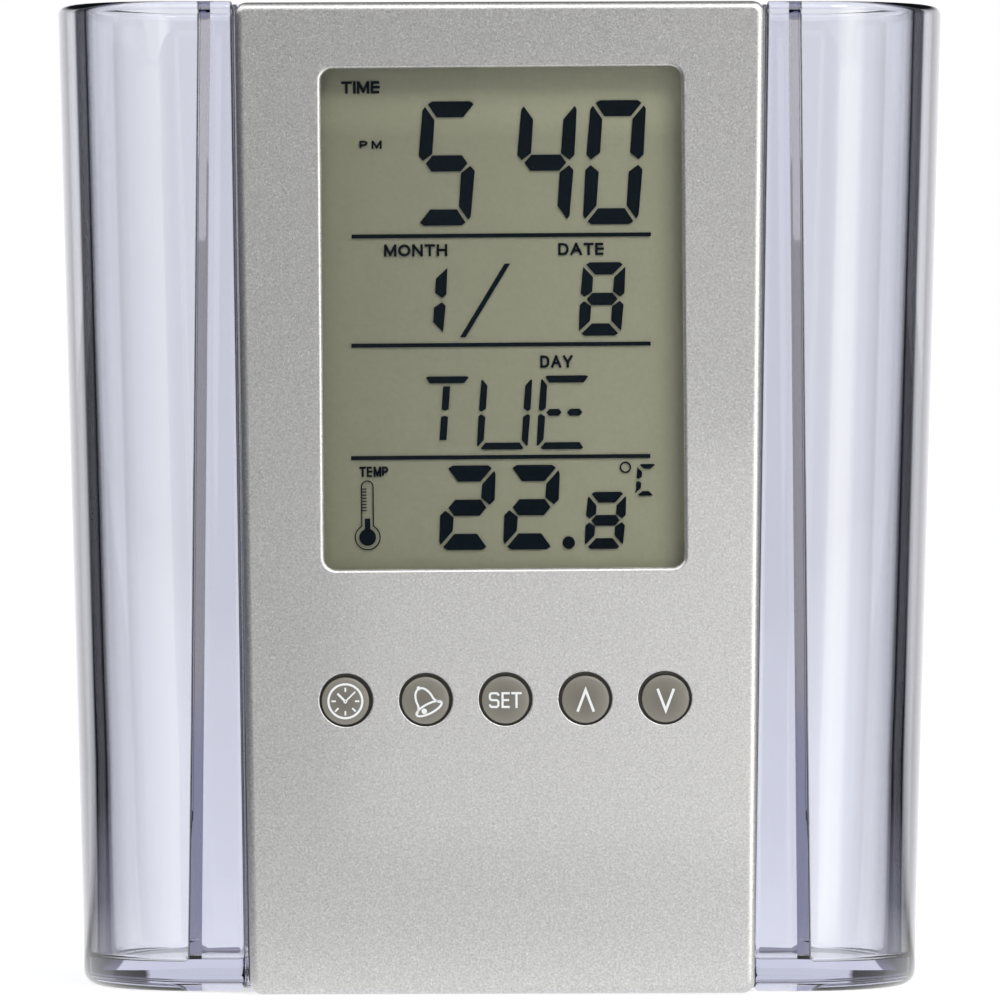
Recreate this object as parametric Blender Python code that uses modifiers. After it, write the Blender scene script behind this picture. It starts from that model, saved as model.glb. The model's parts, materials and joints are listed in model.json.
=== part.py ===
"""Pen holder clock: a clear oval pen cup with a silver liquid crystal clock module in its front pocket.

The model stands on z = 0 and faces -Y. Its origin is the bottom centre of its box.
All sizes are in metres, written as millimetres times MM.
"""
import math

import bmesh
import bpy
from mathutils import Matrix, Vector

MM = 0.001

# Clearance that neighbouring pieces keep
GAP = 0.3 * MM

# Clear cup
CUP_HEIGHT = 100.0 * MM
CUP_WIDTH_TOP = 90.7 * MM
CUP_WIDTH_TAPER = 5.6 * MM
CUP_DEPTH_TOP = 47.0 * MM
CUP_DEPTH_TAPER = 1.2 * MM
CUP_END_LENGTH = 12.0 * MM
CUP_WALL = 2.1 * MM
CUP_FLOOR = 3.0 * MM
CUP_FOOT_FILLET = 1.5 * MM
CUP_RIM_ROUND = 1.2 * MM
CUP_RIM_INNER_ROUND = 0.5 * MM
CUP_CAVITY_FILLET = 2.0 * MM
CUP_END_STEPS = 12

# Pocket in the cup's front wall, which takes the clock module
POCKET_DEPTH = 12.0 * MM
POCKET_BACK_WALL = 2.2 * MM
POCKET_SIDE_WALL_TOP = 3.4 * MM
POCKET_SIDE_WALL_FOOT = 5.6 * MM
POCKET_LEAD_WIDTH = 3.2 * MM
POCKET_LEAD_DEPTH = 2.0 * MM
POCKET_CORNER_RADIUS = 0.8 * MM
POCKET_WALL_FILLET = 2.0 * MM
POCKET_WALL_CORNER = 3.0 * MM
CORNER_STEPS = 5

# Clock module: outer shape of the two covers
PANEL_STANDOUT = 8.0 * MM
PANEL_WIDTH_TOP = 53.3 * MM
PANEL_WIDTH_TAPER = 2.6 * MM
PANEL_RIM_DROP = 0.3 * MM
PANEL_EDGE_ROUND = 1.0 * MM
PANEL_FRONT_WALL = 1.8 * MM
PANEL_SIDE_WALL = 1.6 * MM
REAR_WALL = 1.6 * MM
REAR_COVER_LIFT = 0.3 * MM
SEAM_BEHIND_BOARD = 0.9 * MM

# Window, lens and liquid crystal cell
WINDOW_SIDE_MARGIN = 8.55 * MM
WINDOW_HEIGHT = 50.3 * MM
WINDOW_BELOW_TOP = 6.6 * MM
WINDOW_CORNER = 1.2 * MM
WINDOW_BEVEL = 0.45 * MM
LENS_BORDER = 2.0 * MM
LENS_THICKNESS = 1.0 * MM
CELL_BORDER = 2.9 * MM
CELL_THICKNESS = 2.0 * MM
REFLECTOR_BORDER = 0.3 * MM
REFLECTOR_THICKNESS = 0.3 * MM
STRIP_DEPTH = 2.0 * MM
STRIP_HEIGHT = 1.5 * MM
STRIP_INSET = 0.5 * MM
FRAME_BAR = 1.3 * MM
FRAME_LEDGE = 2.0 * MM
FRAME_HOOK_X = 12.0 * MM
FRAME_HOOK_WIDTH = 4.0 * MM
FRAME_HOOK_NIB = 1.2 * MM
FRAME_HOOK_THICKNESS = 0.8 * MM

# Buttons
BUTTON_NAMES = ("clock", "alarm", "set", "up", "down")
BUTTON_ROW_INSET = 2.1 * MM
BUTTONS_BELOW_WINDOW = 13.1 * MM
BUTTON_DIAMETER = 4.75 * MM
BUTTON_HOLE_DIAMETER = 5.35 * MM
BUTTON_PROUD = 0.25 * MM
BUTTON_DOME = 0.35 * MM
BUTTON_FLANGE_DIAMETER = 6.5 * MM
BUTTON_FLANGE_THICKNESS = 0.7 * MM
BUTTON_TRAVEL = 0.7 * MM
BUTTON_SEGMENTS = 32
PILL_DIAMETER = 4.0 * MM
PILL_LENGTH = 1.2 * MM
MAT_THICKNESS = 1.2 * MM
MAT_COLLAR_BORE = 5.0 * MM
MAT_COLLAR_DIAMETER = 6.6 * MM
MAT_COLLAR_HEIGHT = 2.0 * MM
MAT_MARGIN = 3.4 * MM
MAT_HEIGHT = 8.0 * MM

# Circuit board and what it carries
BOARD_THICKNESS = 1.6 * MM
BOARD_IN_FRAME = 0.7 * MM
BLOB_DIAMETER = 13.0 * MM
BLOB_HEIGHT = 1.6 * MM
BLOB_BELOW_CENTRE = 5.9 * MM
CRYSTAL_DIAMETER = 2.0 * MM
CRYSTAL_LENGTH = 6.2 * MM
CRYSTAL_X = 12.0 * MM
CRYSTAL_BELOW_BLOB = 14.0 * MM
THERMISTOR_DIAMETER = 2.4 * MM
THERMISTOR_LEAD = 0.6 * MM
THERMISTOR_LEAD_LENGTH = 3.0 * MM
THERMISTOR_LEAD_PITCH = 1.4 * MM
THERMISTOR_X = -12.0 * MM
THERMISTOR_ABOVE_BUTTONS = 1.3 * MM
DISC_DIAMETER = 20.0 * MM
DISC_THICKNESS = 0.25 * MM
DISC_CERAMIC_DIAMETER = 14.0 * MM
DISC_CERAMIC_THICKNESS = 0.25 * MM

# Button cells, their contacts and their door
CELL_DIAMETER = 11.6 * MM
CELL_LENGTH = 5.4 * MM
CELL_CAP_DIAMETER = 9.6 * MM
CELL_CAP_LENGTH = 0.6 * MM
CELL_SPACING = 12.6 * MM
CONTACT_THICKNESS = 0.25 * MM
CONTACT_WIDTH = 6.0 * MM
CONTACT_LUG = 2.0 * MM
TRAY_WALL = 1.0 * MM
RIB_BELOW_BOARD = 5.0 * MM
DOOR_THICKNESS = 1.2 * MM
DOOR_RECESS = 0.2 * MM
DOOR_PIN_DIAMETER = 0.8 * MM
DOOR_PIN_LENGTH = 0.6 * MM
DOOR_EDGE_ROUND = 0.55 * MM
DOOR_GRIP_DEPTH = 0.3 * MM
DOOR_GRIP_WIDTH = 6.0 * MM

# Screws and their posts
CASE_SCREW_LENGTH = 11.0 * MM
PCB_SCREW_LENGTH = 5.0 * MM
SCREW_SHANK = 2.0 * MM
SCREW_HEAD = 3.8 * MM
SCREW_HEAD_HEIGHT = 1.4 * MM
SCREW_SLOT = 0.5 * MM
POST_DIAMETER = 4.0 * MM
BOSS_DIAMETER = 6.0 * MM
CASE_SCREW_LOW_Z = 8.0 * MM
PCB_SCREW_FROM_SIDE = 4.9 * MM
PCB_SCREW_BELOW_MAT = 4.7 * MM
PCB_SCREW_EDGE = 4.0 * MM
TAB_IN_FRAME = 4.7 * MM
TAB_WIDTH = 4.0 * MM
TAB_THICKNESS = 1.2 * MM
TAB_REACH = 2.0 * MM

# How far a cutter runs past the face that it opens
PAST = 1.0 * MM

# Depths, from the buttons' crowns and the panel's front face back to the rear of the cup
OVERALL_DEPTH = BUTTON_PROUD + PANEL_STANDOUT + CUP_DEPTH_TOP
PANEL_FRONT_Y = BUTTON_PROUD - OVERALL_DEPTH / 2
CUP_FRONT_Y = PANEL_FRONT_Y + PANEL_STANDOUT
CUP_CENTRE_Y = CUP_FRONT_Y + CUP_DEPTH_TOP / 2
POCKET_BACK_Y = CUP_FRONT_Y + POCKET_DEPTH
MODULE_BACK_Y = POCKET_BACK_Y - GAP
REAR_INNER_Y = MODULE_BACK_Y - REAR_WALL
FRONT_INNER_Y = PANEL_FRONT_Y + PANEL_FRONT_WALL
LENS_FRONT_Y = FRONT_INNER_Y + GAP
LENS_BACK_Y = LENS_FRONT_Y + LENS_THICKNESS
CELL_FRONT_Y = LENS_BACK_Y + GAP
CELL_BACK_Y = CELL_FRONT_Y + CELL_THICKNESS
REFLECTOR_FRONT_Y = CELL_BACK_Y + GAP
STRIP_BACK_Y = REFLECTOR_FRONT_Y + STRIP_DEPTH
BOARD_FRONT_Y = STRIP_BACK_Y + GAP
BOARD_BACK_Y = BOARD_FRONT_Y + BOARD_THICKNESS
SEAM_Y = BOARD_BACK_Y + SEAM_BEHIND_BOARD
REAR_COVER_FRONT_Y = SEAM_Y + GAP

# Widths at the foot
CUP_WIDTH_FOOT = CUP_WIDTH_TOP - CUP_WIDTH_TAPER
CUP_DEPTH_FOOT = CUP_DEPTH_TOP - CUP_DEPTH_TAPER
PANEL_WIDTH_FOOT = PANEL_WIDTH_TOP - PANEL_WIDTH_TAPER

# Heights and widths of the module's inside, from the window outwards and down
PANEL_HEIGHT = CUP_HEIGHT - PANEL_RIM_DROP
PANEL_CEILING = PANEL_HEIGHT - PANEL_SIDE_WALL
WINDOW_TOP = PANEL_HEIGHT - WINDOW_BELOW_TOP
WINDOW_BOTTOM = WINDOW_TOP - WINDOW_HEIGHT
WINDOW_MIDDLE = (WINDOW_BOTTOM + WINDOW_TOP) / 2
WINDOW_WIDTH = PANEL_WIDTH_TOP - 2 * WINDOW_SIDE_MARGIN
WINDOW_HALF = WINDOW_WIDTH / 2
GLASS_HALF = WINDOW_HALF + CELL_BORDER
GLASS_BOTTOM = WINDOW_BOTTOM - CELL_BORDER
GLASS_TOP = WINDOW_TOP + CELL_BORDER
FRAME_HALF = GLASS_HALF + GAP + FRAME_BAR
FRAME_BOTTOM = GLASS_BOTTOM - GAP - FRAME_BAR
FRAME_TOP = GLASS_TOP + GAP + FRAME_BAR
BUTTON_HEIGHT = WINDOW_BOTTOM - BUTTONS_BELOW_WINDOW
BUTTON_ROW = WINDOW_WIDTH - 2 * BUTTON_ROW_INSET
BUTTON_PITCH = BUTTON_ROW / (len(BUTTON_NAMES) - 1)
MAT_BOTTOM = BUTTON_HEIGHT - MAT_HEIGHT / 2
PCB_SCREW_LOW_Z = MAT_BOTTOM - PCB_SCREW_BELOW_MAT
BOARD_TOP = GLASS_TOP
BOARD_STEP = GLASS_BOTTOM
BOARD_BOTTOM = PCB_SCREW_LOW_Z - PCB_SCREW_EDGE
BLOB_Z = WINDOW_MIDDLE - BLOB_BELOW_CENTRE
CRYSTAL_Z = BLOB_Z - CRYSTAL_BELOW_BLOB
THERMISTOR_Z = BUTTON_HEIGHT + THERMISTOR_ABOVE_BUTTONS
MAT_HALF = BUTTON_ROW / 2 + MAT_MARGIN
PCB_SCREW_X = MAT_HALF - PCB_SCREW_FROM_SIDE
TAB_X = FRAME_HALF - TAB_IN_FRAME
BOARD_UPPER_HALF = FRAME_HALF - BOARD_IN_FRAME
CASE_SCREW_X = MAT_HALF + GAP + POST_DIAMETER / 2 + GAP
CASE_SCREW_HIGH_Z = FRAME_BOTTOM - GAP - POST_DIAMETER / 2
PCB_SCREW_HIGH_Z = FRAME_BOTTOM - POST_DIAMETER / 2 + GAP

# Depths and heights of the battery compartment, from the rear cover's inner face forwards
BRIDGE_BACK_Y = REAR_INNER_Y - GAP
BRIDGE_FRONT_Y = BRIDGE_BACK_Y - CONTACT_THICKNESS
BATTERY_BACK_Y = BRIDGE_FRONT_Y - GAP
BATTERY_FRONT_Y = BATTERY_BACK_Y - CELL_LENGTH
LUG_BACK_Y = BATTERY_FRONT_Y - GAP
LUG_FRONT_Y = LUG_BACK_Y - CONTACT_THICKNESS
DOOR_BOTTOM = REAR_COVER_LIFT + DOOR_RECESS
DOOR_TOP = DOOR_BOTTOM + DOOR_THICKNESS
BATTERY_Z = DOOR_TOP + 2 * GAP + CELL_DIAMETER / 2
BATTERY_TOP = BATTERY_Z + CELL_DIAMETER / 2
RIB_TOP = BOARD_BOTTOM - RIB_BELOW_BOARD
TRAY_HALF = CELL_SPACING / 2 + CELL_DIAMETER / 2 + GAP
DOOR_HALF = TRAY_HALF - GAP
DOOR_FRONT_Y = BATTERY_FRONT_Y - GAP
DOOR_BACK_Y = BATTERY_BACK_Y
DOOR_PIN_Y = DOOR_BACK_Y - DOOR_THICKNESS / 2
DOOR_PIN_Z = DOOR_TOP - DOOR_PIN_DIAMETER / 2


def remove_everything():
    """Empty the file of objects."""
    for thing in list(bpy.data.objects):
        bpy.data.objects.remove(thing, do_unlink=True)


def collection(name):
    """Return the collection of this name, linked to the scene."""
    found = bpy.data.collections.get(name)
    if found is None:
        found = bpy.data.collections.new(name)
        bpy.context.scene.collection.children.link(found)
    return found


def material(name, colour, roughness, metallic=0.0, transmission=0.0):
    """Make a Principled material."""
    made = bpy.data.materials.new(name)
    made.use_nodes = True
    shader = made.node_tree.nodes["Principled BSDF"]
    shader.inputs["Base Color"].default_value = (*colour, 1.0)
    shader.inputs["Roughness"].default_value = roughness
    shader.inputs["Metallic"].default_value = metallic
    shader.inputs["Transmission Weight"].default_value = transmission
    made.diffuse_color = (*colour, 1.0)
    return made


def object_from(name, bm, finish=None):
    """Turn a bmesh into an object, among the parts if it has a finish and else among the cutters."""
    mesh = bpy.data.meshes.new(name)
    bm.to_mesh(mesh)
    bm.free()
    made = bpy.data.objects.new(name, mesh)
    if finish is None:
        return as_cutter(made)
    collection("pen_holder_clock").objects.link(made)
    mesh.materials.append(finish)
    return made


def as_cutter(tool):
    """Keep an object as a tool of Boolean modifiers only."""
    collection("cutters").objects.link(tool)
    tool.hide_render = True
    tool.display_type = "WIRE"
    return tool


def boolean(target, tool, operation):
    """Add a Boolean modifier that cuts or joins a tool."""
    step = target.modifiers.new(tool.name, "BOOLEAN")
    step.operation = operation
    step.object = tool


def cut(target, *tools):
    """Cut each tool from the target."""
    for tool in tools:
        boolean(target, tool, "DIFFERENCE")


def join(target, *tools):
    """Join each tool to the target."""
    for tool in tools:
        boolean(target, tool, "UNION")


def box(name, x_range, y_range, z_range, finish=None):
    """Make a box between its limits."""
    bm = bmesh.new()
    bmesh.ops.create_cube(bm, size=1.0)
    limits = (x_range, y_range, z_range)
    for vertex in bm.verts:
        vertex.co = Vector([pair[1] if c > 0 else pair[0] for c, pair in zip(vertex.co, limits)])
    return object_from(name, bm, finish)


def rod(name, x, z, y_range, diameter, segments=20, finish=None):
    """Make a cylinder that lies along Y."""
    bm = bmesh.new()
    length = y_range[1] - y_range[0]
    place = Matrix.Translation((x, sum(y_range) / 2, z)) @ Matrix.Rotation(math.pi / 2, 4, "X")
    bmesh.ops.create_cone(bm, cap_ends=True, segments=segments, radius1=diameter / 2,
                          radius2=diameter / 2, depth=length, matrix=place)
    return object_from(name, bm, finish)


def loft(name, rings, finish=None):
    """Skin a row of rings that have the same number of points, and cap both ends."""
    bm = bmesh.new()
    rows = [[bm.verts.new(point) for point in ring] for ring in rings]
    count = len(rows[0])
    for low, high in zip(rows, rows[1:]):
        for i in range(count):
            j = (i + 1) % count
            bm.faces.new((low[i], low[j], high[j], high[i]))
    bm.faces.new(rows[0][::-1])
    bm.faces.new(rows[-1])
    bmesh.ops.recalc_face_normals(bm, faces=bm.faces)
    return object_from(name, bm, finish)


def turned_mesh(name, profile, segments=24):
    """Revolve a profile of (radius, height) points about Z, and return the closed mesh."""
    line = bpy.data.meshes.new(name + "_profile")
    line.from_pydata([(r, 0.0, z) for r, z in profile], [(i, i + 1) for i in range(len(profile) - 1)], [])
    holder = bpy.data.objects.new(name + "_profile", line)
    collection("cutters").objects.link(holder)
    screw = holder.modifiers.new("turn", "SCREW")
    screw.angle = 2 * math.pi
    screw.steps = segments
    screw.render_steps = segments
    screw.use_merge_vertices = True
    screw.merge_threshold = 0.00001
    graph = bpy.context.evaluated_depsgraph_get()
    mesh = bpy.data.meshes.new_from_object(holder.evaluated_get(graph))
    bpy.data.objects.remove(holder, do_unlink=True)
    mesh.shade_smooth()
    mesh.set_sharp_from_angle(angle=math.radians(35))
    return mesh


def placed(name, mesh, location, tilt, finish):
    """Put a turned mesh at a place, its axis tilted from +Z about X."""
    made = bpy.data.objects.new(name, mesh)
    made.location = location
    made.rotation_euler = (tilt, 0.0, 0.0)
    collection("pen_holder_clock").objects.link(made)
    mesh.materials.append(finish)
    return made


TO_FRONT = math.pi / 2
TO_REAR = -math.pi / 2


def blend(foot, top, z):
    """Value at height z of a size that changes evenly from the cup's foot to its rim."""
    return foot + (top - foot) * z / CUP_HEIGHT


def panel_half(z):
    """Half width of the clock module at height z."""
    return blend(PANEL_WIDTH_FOOT, PANEL_WIDTH_TOP, z) / 2


def oval(z, inset):
    """Ring of the cup's oval plan at height z: flat front and back, quarter-ellipse corners."""
    half_width = blend(CUP_WIDTH_FOOT, CUP_WIDTH_TOP, z) / 2 - inset
    half_depth = blend(CUP_DEPTH_FOOT, CUP_DEPTH_TOP, z) / 2 - inset
    end = CUP_END_LENGTH - inset
    ring = []
    for side in (1, -1):
        for step in range(2 * CUP_END_STEPS + 1):
            angle = -math.pi / 2 + math.pi * step / (2 * CUP_END_STEPS)
            x = half_width - end + end * math.cos(angle)
            ring.append((side * x, CUP_CENTRE_Y + side * half_depth * math.sin(angle), z))
    return ring


def quarter(radius, outward):
    """Inset and rise of the points of a quarter-round edge, from its flat to its wall."""
    for step in range(CORNER_STEPS + 1):
        angle = math.pi / 2 * step / CORNER_STEPS
        yield outward * radius * (1 - math.sin(angle)), radius * (1 - math.cos(angle))


def pocket_ring(z, half, mouth_y, back_y, lead, corner):
    """Ring of the pocket's plan: straight sides, rounded back corners and a mouth that opens out."""
    right = [(half + lead[0], mouth_y - PAST)]
    for step in range(CORNER_STEPS + 1):
        angle = math.pi / 2 * step / CORNER_STEPS
        x = half + lead[0] * (1 - math.sin(angle))
        right.append((x, mouth_y + lead[1] * (1 - math.cos(angle))))
    for step in range(CORNER_STEPS + 1):
        angle = math.pi / 2 * step / CORNER_STEPS
        x = half - corner * (1 - math.cos(angle))
        right.append((x, back_y - corner * (1 - math.sin(angle))))
    left = [(-x, y) for x, y in reversed(right)]
    return [(x, y, z) for x, y in right + left]


def make_pen_cup(clear):
    """Clear moulded cup: drafted oval body, hollowed round the pocket that takes the module."""
    outside = [oval(rise, inset) for inset, rise in quarter(CUP_FOOT_FILLET, 1)]
    outside += [oval(CUP_HEIGHT - rise, inset) for inset, rise in reversed(list(quarter(CUP_RIM_ROUND, 1)))]
    cup = loft("pen_cup", outside, clear)

    well = [oval(CUP_FLOOR + rise, CUP_WALL + inset) for inset, rise in quarter(CUP_CAVITY_FILLET, 1)]
    for inset, rise in reversed(list(quarter(CUP_RIM_INNER_ROUND, -1))):
        well.append(oval(CUP_HEIGHT - rise, CUP_WALL + inset))
    well.append(oval(CUP_HEIGHT + PAST, CUP_WALL - CUP_RIM_INNER_ROUND))
    cavity = loft("cup_cavity", well)

    inner_front_y = CUP_FRONT_Y + CUP_WALL
    wall_levels = [(CUP_FLOOR - PAST, CUP_CAVITY_FILLET)]
    wall_levels += [(CUP_FLOOR + rise, inset) for inset, rise in quarter(CUP_CAVITY_FILLET, 1)]
    wall_levels.append((CUP_HEIGHT + 2 * PAST, 0.0))
    wall = []
    for z, spread in wall_levels:
        half = panel_half(z) + GAP + blend(POCKET_SIDE_WALL_FOOT, POCKET_SIDE_WALL_TOP, z) + spread
        back_y = POCKET_BACK_Y + POCKET_BACK_WALL + spread
        lead = (POCKET_WALL_FILLET, POCKET_WALL_FILLET)
        wall.append(pocket_ring(z, half, inner_front_y, back_y, lead, POCKET_WALL_CORNER))
    cut(cavity, loft("pocket_wall", wall))

    notch = []
    for z in (-PAST, CUP_HEIGHT + PAST):
        lead = (POCKET_LEAD_WIDTH, POCKET_LEAD_DEPTH)
        notch.append(pocket_ring(z, panel_half(z) + GAP, CUP_FRONT_Y, POCKET_BACK_Y, lead,
                                 POCKET_CORNER_RADIUS))
    cut(cup, cavity, loft("pocket_notch", notch))
    return cup


def cover_block(name, offset, y_range, z_range, rounded=None, finish=None):
    """Block with the module's tapered outline, its edges rounded except round the open face."""
    bm = bmesh.new()
    bmesh.ops.create_cube(bm, size=1.0)
    for vertex in bm.verts:
        z = z_range[1] if vertex.co.z > 0 else z_range[0]
        y = y_range[1] if vertex.co.y > 0 else y_range[0]
        x = math.copysign(panel_half(z) + offset, vertex.co.x)
        vertex.co = Vector((x, y, z))
    if rounded is not None:
        open_y = y_range[rounded]
        edges = [e for e in bm.edges if any(abs(v.co.y - open_y) > GAP / 2 for v in e.verts)]
        bmesh.ops.bevel(bm, geom=edges, offset=PANEL_EDGE_ROUND, segments=3, profile=0.5,
                        affect="EDGES", clamp_overlap=True)
    return object_from(name, bm, finish)


def window_ring(y, border, corner):
    """Rounded rectangle round the window at depth y."""
    ring = []
    for turn in range(4):
        sx = 1 if turn in (0, 3) else -1
        sz = 1 if turn in (0, 1) else -1
        for step in range(CORNER_STEPS + 1):
            angle = math.pi / 2 * (turn + step / CORNER_STEPS)
            x = sx * (WINDOW_HALF + border - corner) + corner * math.cos(angle)
            z = WINDOW_MIDDLE + sz * (WINDOW_HEIGHT / 2 + border - corner) + corner * math.sin(angle)
            ring.append((x, y, z))
    return ring


def button_x(index):
    """Place of a button along the row."""
    return (index - (len(BUTTON_NAMES) - 1) / 2) * BUTTON_PITCH


def case_screw_places():
    """Places of the screws that close the module."""
    return [(side * CASE_SCREW_X, z) for side in (-1, 1) for z in (CASE_SCREW_LOW_Z, CASE_SCREW_HIGH_Z)]


def low_board_screw_places():
    """Places of the screws that hold the board to the front cover."""
    return [(side * PCB_SCREW_X, PCB_SCREW_LOW_Z) for side in (-1, 1)]


def high_board_screw_places():
    """Places of the screws that hold the board to the display frame."""
    return [(side * PCB_SCREW_X, PCB_SCREW_HIGH_Z) for side in (-1, 1)]


def add_post(target, label, x, z, y_range, diameter):
    """Join a round post to a cover and bore it for its screw."""
    join(target, rod(label + "_post", x, z, y_range, diameter))
    return rod(label + "_bore", x, z, (y_range[0] + PAST, y_range[1] + PAST), SCREW_SHANK + 2 * GAP, 12)


def make_front_cover(silver):
    """Silver front shell: window, button holes, screw posts and the ribs that back the contacts."""
    cover = cover_block("front_cover", 0.0, (PANEL_FRONT_Y, SEAM_Y), (0.0, PANEL_HEIGHT), 1, silver)
    cut(cover, cover_block("front_hollow", -PANEL_SIDE_WALL, (FRONT_INNER_Y, SEAM_Y + PAST),
                           (PANEL_SIDE_WALL, PANEL_CEILING)))
    rings = [window_ring(PANEL_FRONT_Y - PAST, WINDOW_BEVEL + PAST, WINDOW_CORNER + WINDOW_BEVEL),
             window_ring(PANEL_FRONT_Y + WINDOW_BEVEL, 0.0, WINDOW_CORNER),
             window_ring(FRONT_INNER_Y + PAST, 0.0, WINDOW_CORNER)]
    cut(cover, loft("window_hole", rings))
    for index, label in enumerate(BUTTON_NAMES):
        cut(cover, rod(label + "_hole", button_x(index), BUTTON_HEIGHT,
                       (PANEL_FRONT_Y - PAST, FRONT_INNER_Y + PAST), BUTTON_HOLE_DIAMETER, BUTTON_SEGMENTS))
    bores = []
    root_y = PANEL_FRONT_Y + PANEL_FRONT_WALL / 2
    for index, (x, z) in enumerate(case_screw_places()):
        bores.append(add_post(cover, f"case_{index}", x, z, (root_y, SEAM_Y - GAP), POST_DIAMETER))
    for index, (x, z) in enumerate(low_board_screw_places()):
        bores.append(add_post(cover, f"board_{index}", x, z, (root_y, BOARD_FRONT_Y - GAP), POST_DIAMETER))
    cut(cover, *bores)
    tray_floor_z = REAR_COVER_LIFT + PANEL_SIDE_WALL + GAP
    for side in (-1, 1):
        centre = side * CELL_SPACING / 2
        limits = (centre - TRAY_WALL / 2, centre + TRAY_WALL / 2)
        join(cover, box(f"contact_rib_{side}", limits, (root_y, LUG_FRONT_Y - GAP), (tray_floor_z, RIB_TOP)))
        join(cover, box(f"rib_root_{side}", limits, (root_y, SEAM_Y), (PANEL_SIDE_WALL / 2, RIB_TOP / 2)))
    return cover


def make_rear_cover(dark):
    """Rear tub of the module: battery tray, door opening, screw bosses and top tabs."""
    cover = cover_block("rear_cover", 0.0, (REAR_COVER_FRONT_Y, MODULE_BACK_Y),
                        (REAR_COVER_LIFT, PANEL_HEIGHT), 0, dark)
    cut(cover, cover_block("rear_hollow", -PANEL_SIDE_WALL, (REAR_COVER_FRONT_Y - PAST, REAR_INNER_Y),
                           (REAR_COVER_LIFT + PANEL_SIDE_WALL, PANEL_CEILING)))
    root_y = REAR_INNER_Y + REAR_WALL / 2
    tray_outer = TRAY_HALF + TRAY_WALL
    tray = box("tray", (-tray_outer, tray_outer), (BATTERY_FRONT_Y, root_y),
               (REAR_COVER_LIFT + PANEL_SIDE_WALL / 2, BATTERY_TOP + GAP + TRAY_WALL))
    join(cover, tray)
    cut(cover, box("tray_hollow", (-TRAY_HALF, TRAY_HALF), (REAR_COVER_FRONT_Y - PAST, REAR_INNER_Y),
                   (REAR_COVER_LIFT + PANEL_SIDE_WALL, BATTERY_TOP + GAP)))
    cut(cover, box("door_opening", (-DOOR_HALF - GAP, DOOR_HALF + GAP),
                   (DOOR_FRONT_Y - GAP, DOOR_BACK_Y + GAP), (-PAST, DOOR_TOP + PAST)))
    for side in (-1, 1):
        reach = sorted((side * DOOR_HALF, side * (DOOR_HALF + DOOR_PIN_LENGTH + GAP)))
        seat = DOOR_PIN_DIAMETER / 2 + GAP
        cut(cover, box(f"pin_seat_{side}", reach, (DOOR_PIN_Y - seat, DOOR_PIN_Y + seat),
                       (DOOR_PIN_Z - seat, DOOR_TOP + PAST)))
    bores = []
    for index, (x, z) in enumerate(case_screw_places()):
        join(cover, rod(f"boss_{index}", x, z, (REAR_COVER_FRONT_Y, root_y), POST_DIAMETER))
        join(cover, rod(f"head_boss_{index}", x, z, (REAR_INNER_Y - SCREW_HEAD_HEIGHT - 2 * GAP, root_y),
                        BOSS_DIAMETER))
        bores.append(rod(f"shank_bore_{index}", x, z, (REAR_COVER_FRONT_Y - PAST, MODULE_BACK_Y),
                         SCREW_SHANK + 2 * GAP, 12))
        bores.append(rod(f"head_bore_{index}", x, z,
                         (MODULE_BACK_Y - SCREW_HEAD_HEIGHT - 2 * GAP, MODULE_BACK_Y + PAST),
                         SCREW_HEAD + 2 * GAP))
    cut(cover, *bores)
    tab_top = PANEL_CEILING - GAP
    for side in (-1, 1):
        limits = sorted((side * (TAB_X - TAB_WIDTH / 2), side * (TAB_X + TAB_WIDTH / 2)))
        tab_back = REAR_COVER_FRONT_Y + 2 * TAB_THICKNESS
        join(cover, box(f"tab_{side}", limits, (REAR_COVER_FRONT_Y - TAB_REACH, tab_back),
                        (tab_top - TAB_THICKNESS, tab_top)))
        join(cover, box(f"tab_root_{side}", limits, (REAR_COVER_FRONT_Y, tab_back),
                        (tab_top - TAB_THICKNESS, PANEL_CEILING + PANEL_SIDE_WALL / 2)))
    return cover


def make_display(clear, glass, foil, black, stripe):
    """Lens, liquid crystal cell, reflector, striped connectors and the frame that holds them."""
    lens_half = WINDOW_HALF + LENS_BORDER
    box("lcd_window", (-lens_half, lens_half), (LENS_FRONT_Y, LENS_BACK_Y),
        (WINDOW_BOTTOM - LENS_BORDER, WINDOW_TOP + LENS_BORDER), clear)
    box("lcd_glass", (-GLASS_HALF, GLASS_HALF), (CELL_FRONT_Y, CELL_BACK_Y), (GLASS_BOTTOM, GLASS_TOP), glass)
    foil_half = WINDOW_HALF + REFLECTOR_BORDER
    box("lcd_reflector", (-foil_half, foil_half),
        (REFLECTOR_FRONT_Y, REFLECTOR_FRONT_Y + REFLECTOR_THICKNESS),
        (WINDOW_BOTTOM - REFLECTOR_BORDER, WINDOW_TOP + REFLECTOR_BORDER), foil)
    strip_half = GLASS_HALF - FRAME_LEDGE - GAP
    low = GLASS_BOTTOM + STRIP_INSET
    high = GLASS_TOP - STRIP_INSET
    box("zebra_strip_lower", (-strip_half, strip_half), (REFLECTOR_FRONT_Y, STRIP_BACK_Y),
        (low, low + STRIP_HEIGHT), stripe)
    box("zebra_strip_upper", (-strip_half, strip_half), (REFLECTOR_FRONT_Y, STRIP_BACK_Y),
        (high - STRIP_HEIGHT, high), stripe)
    make_display_frame(black)


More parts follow.
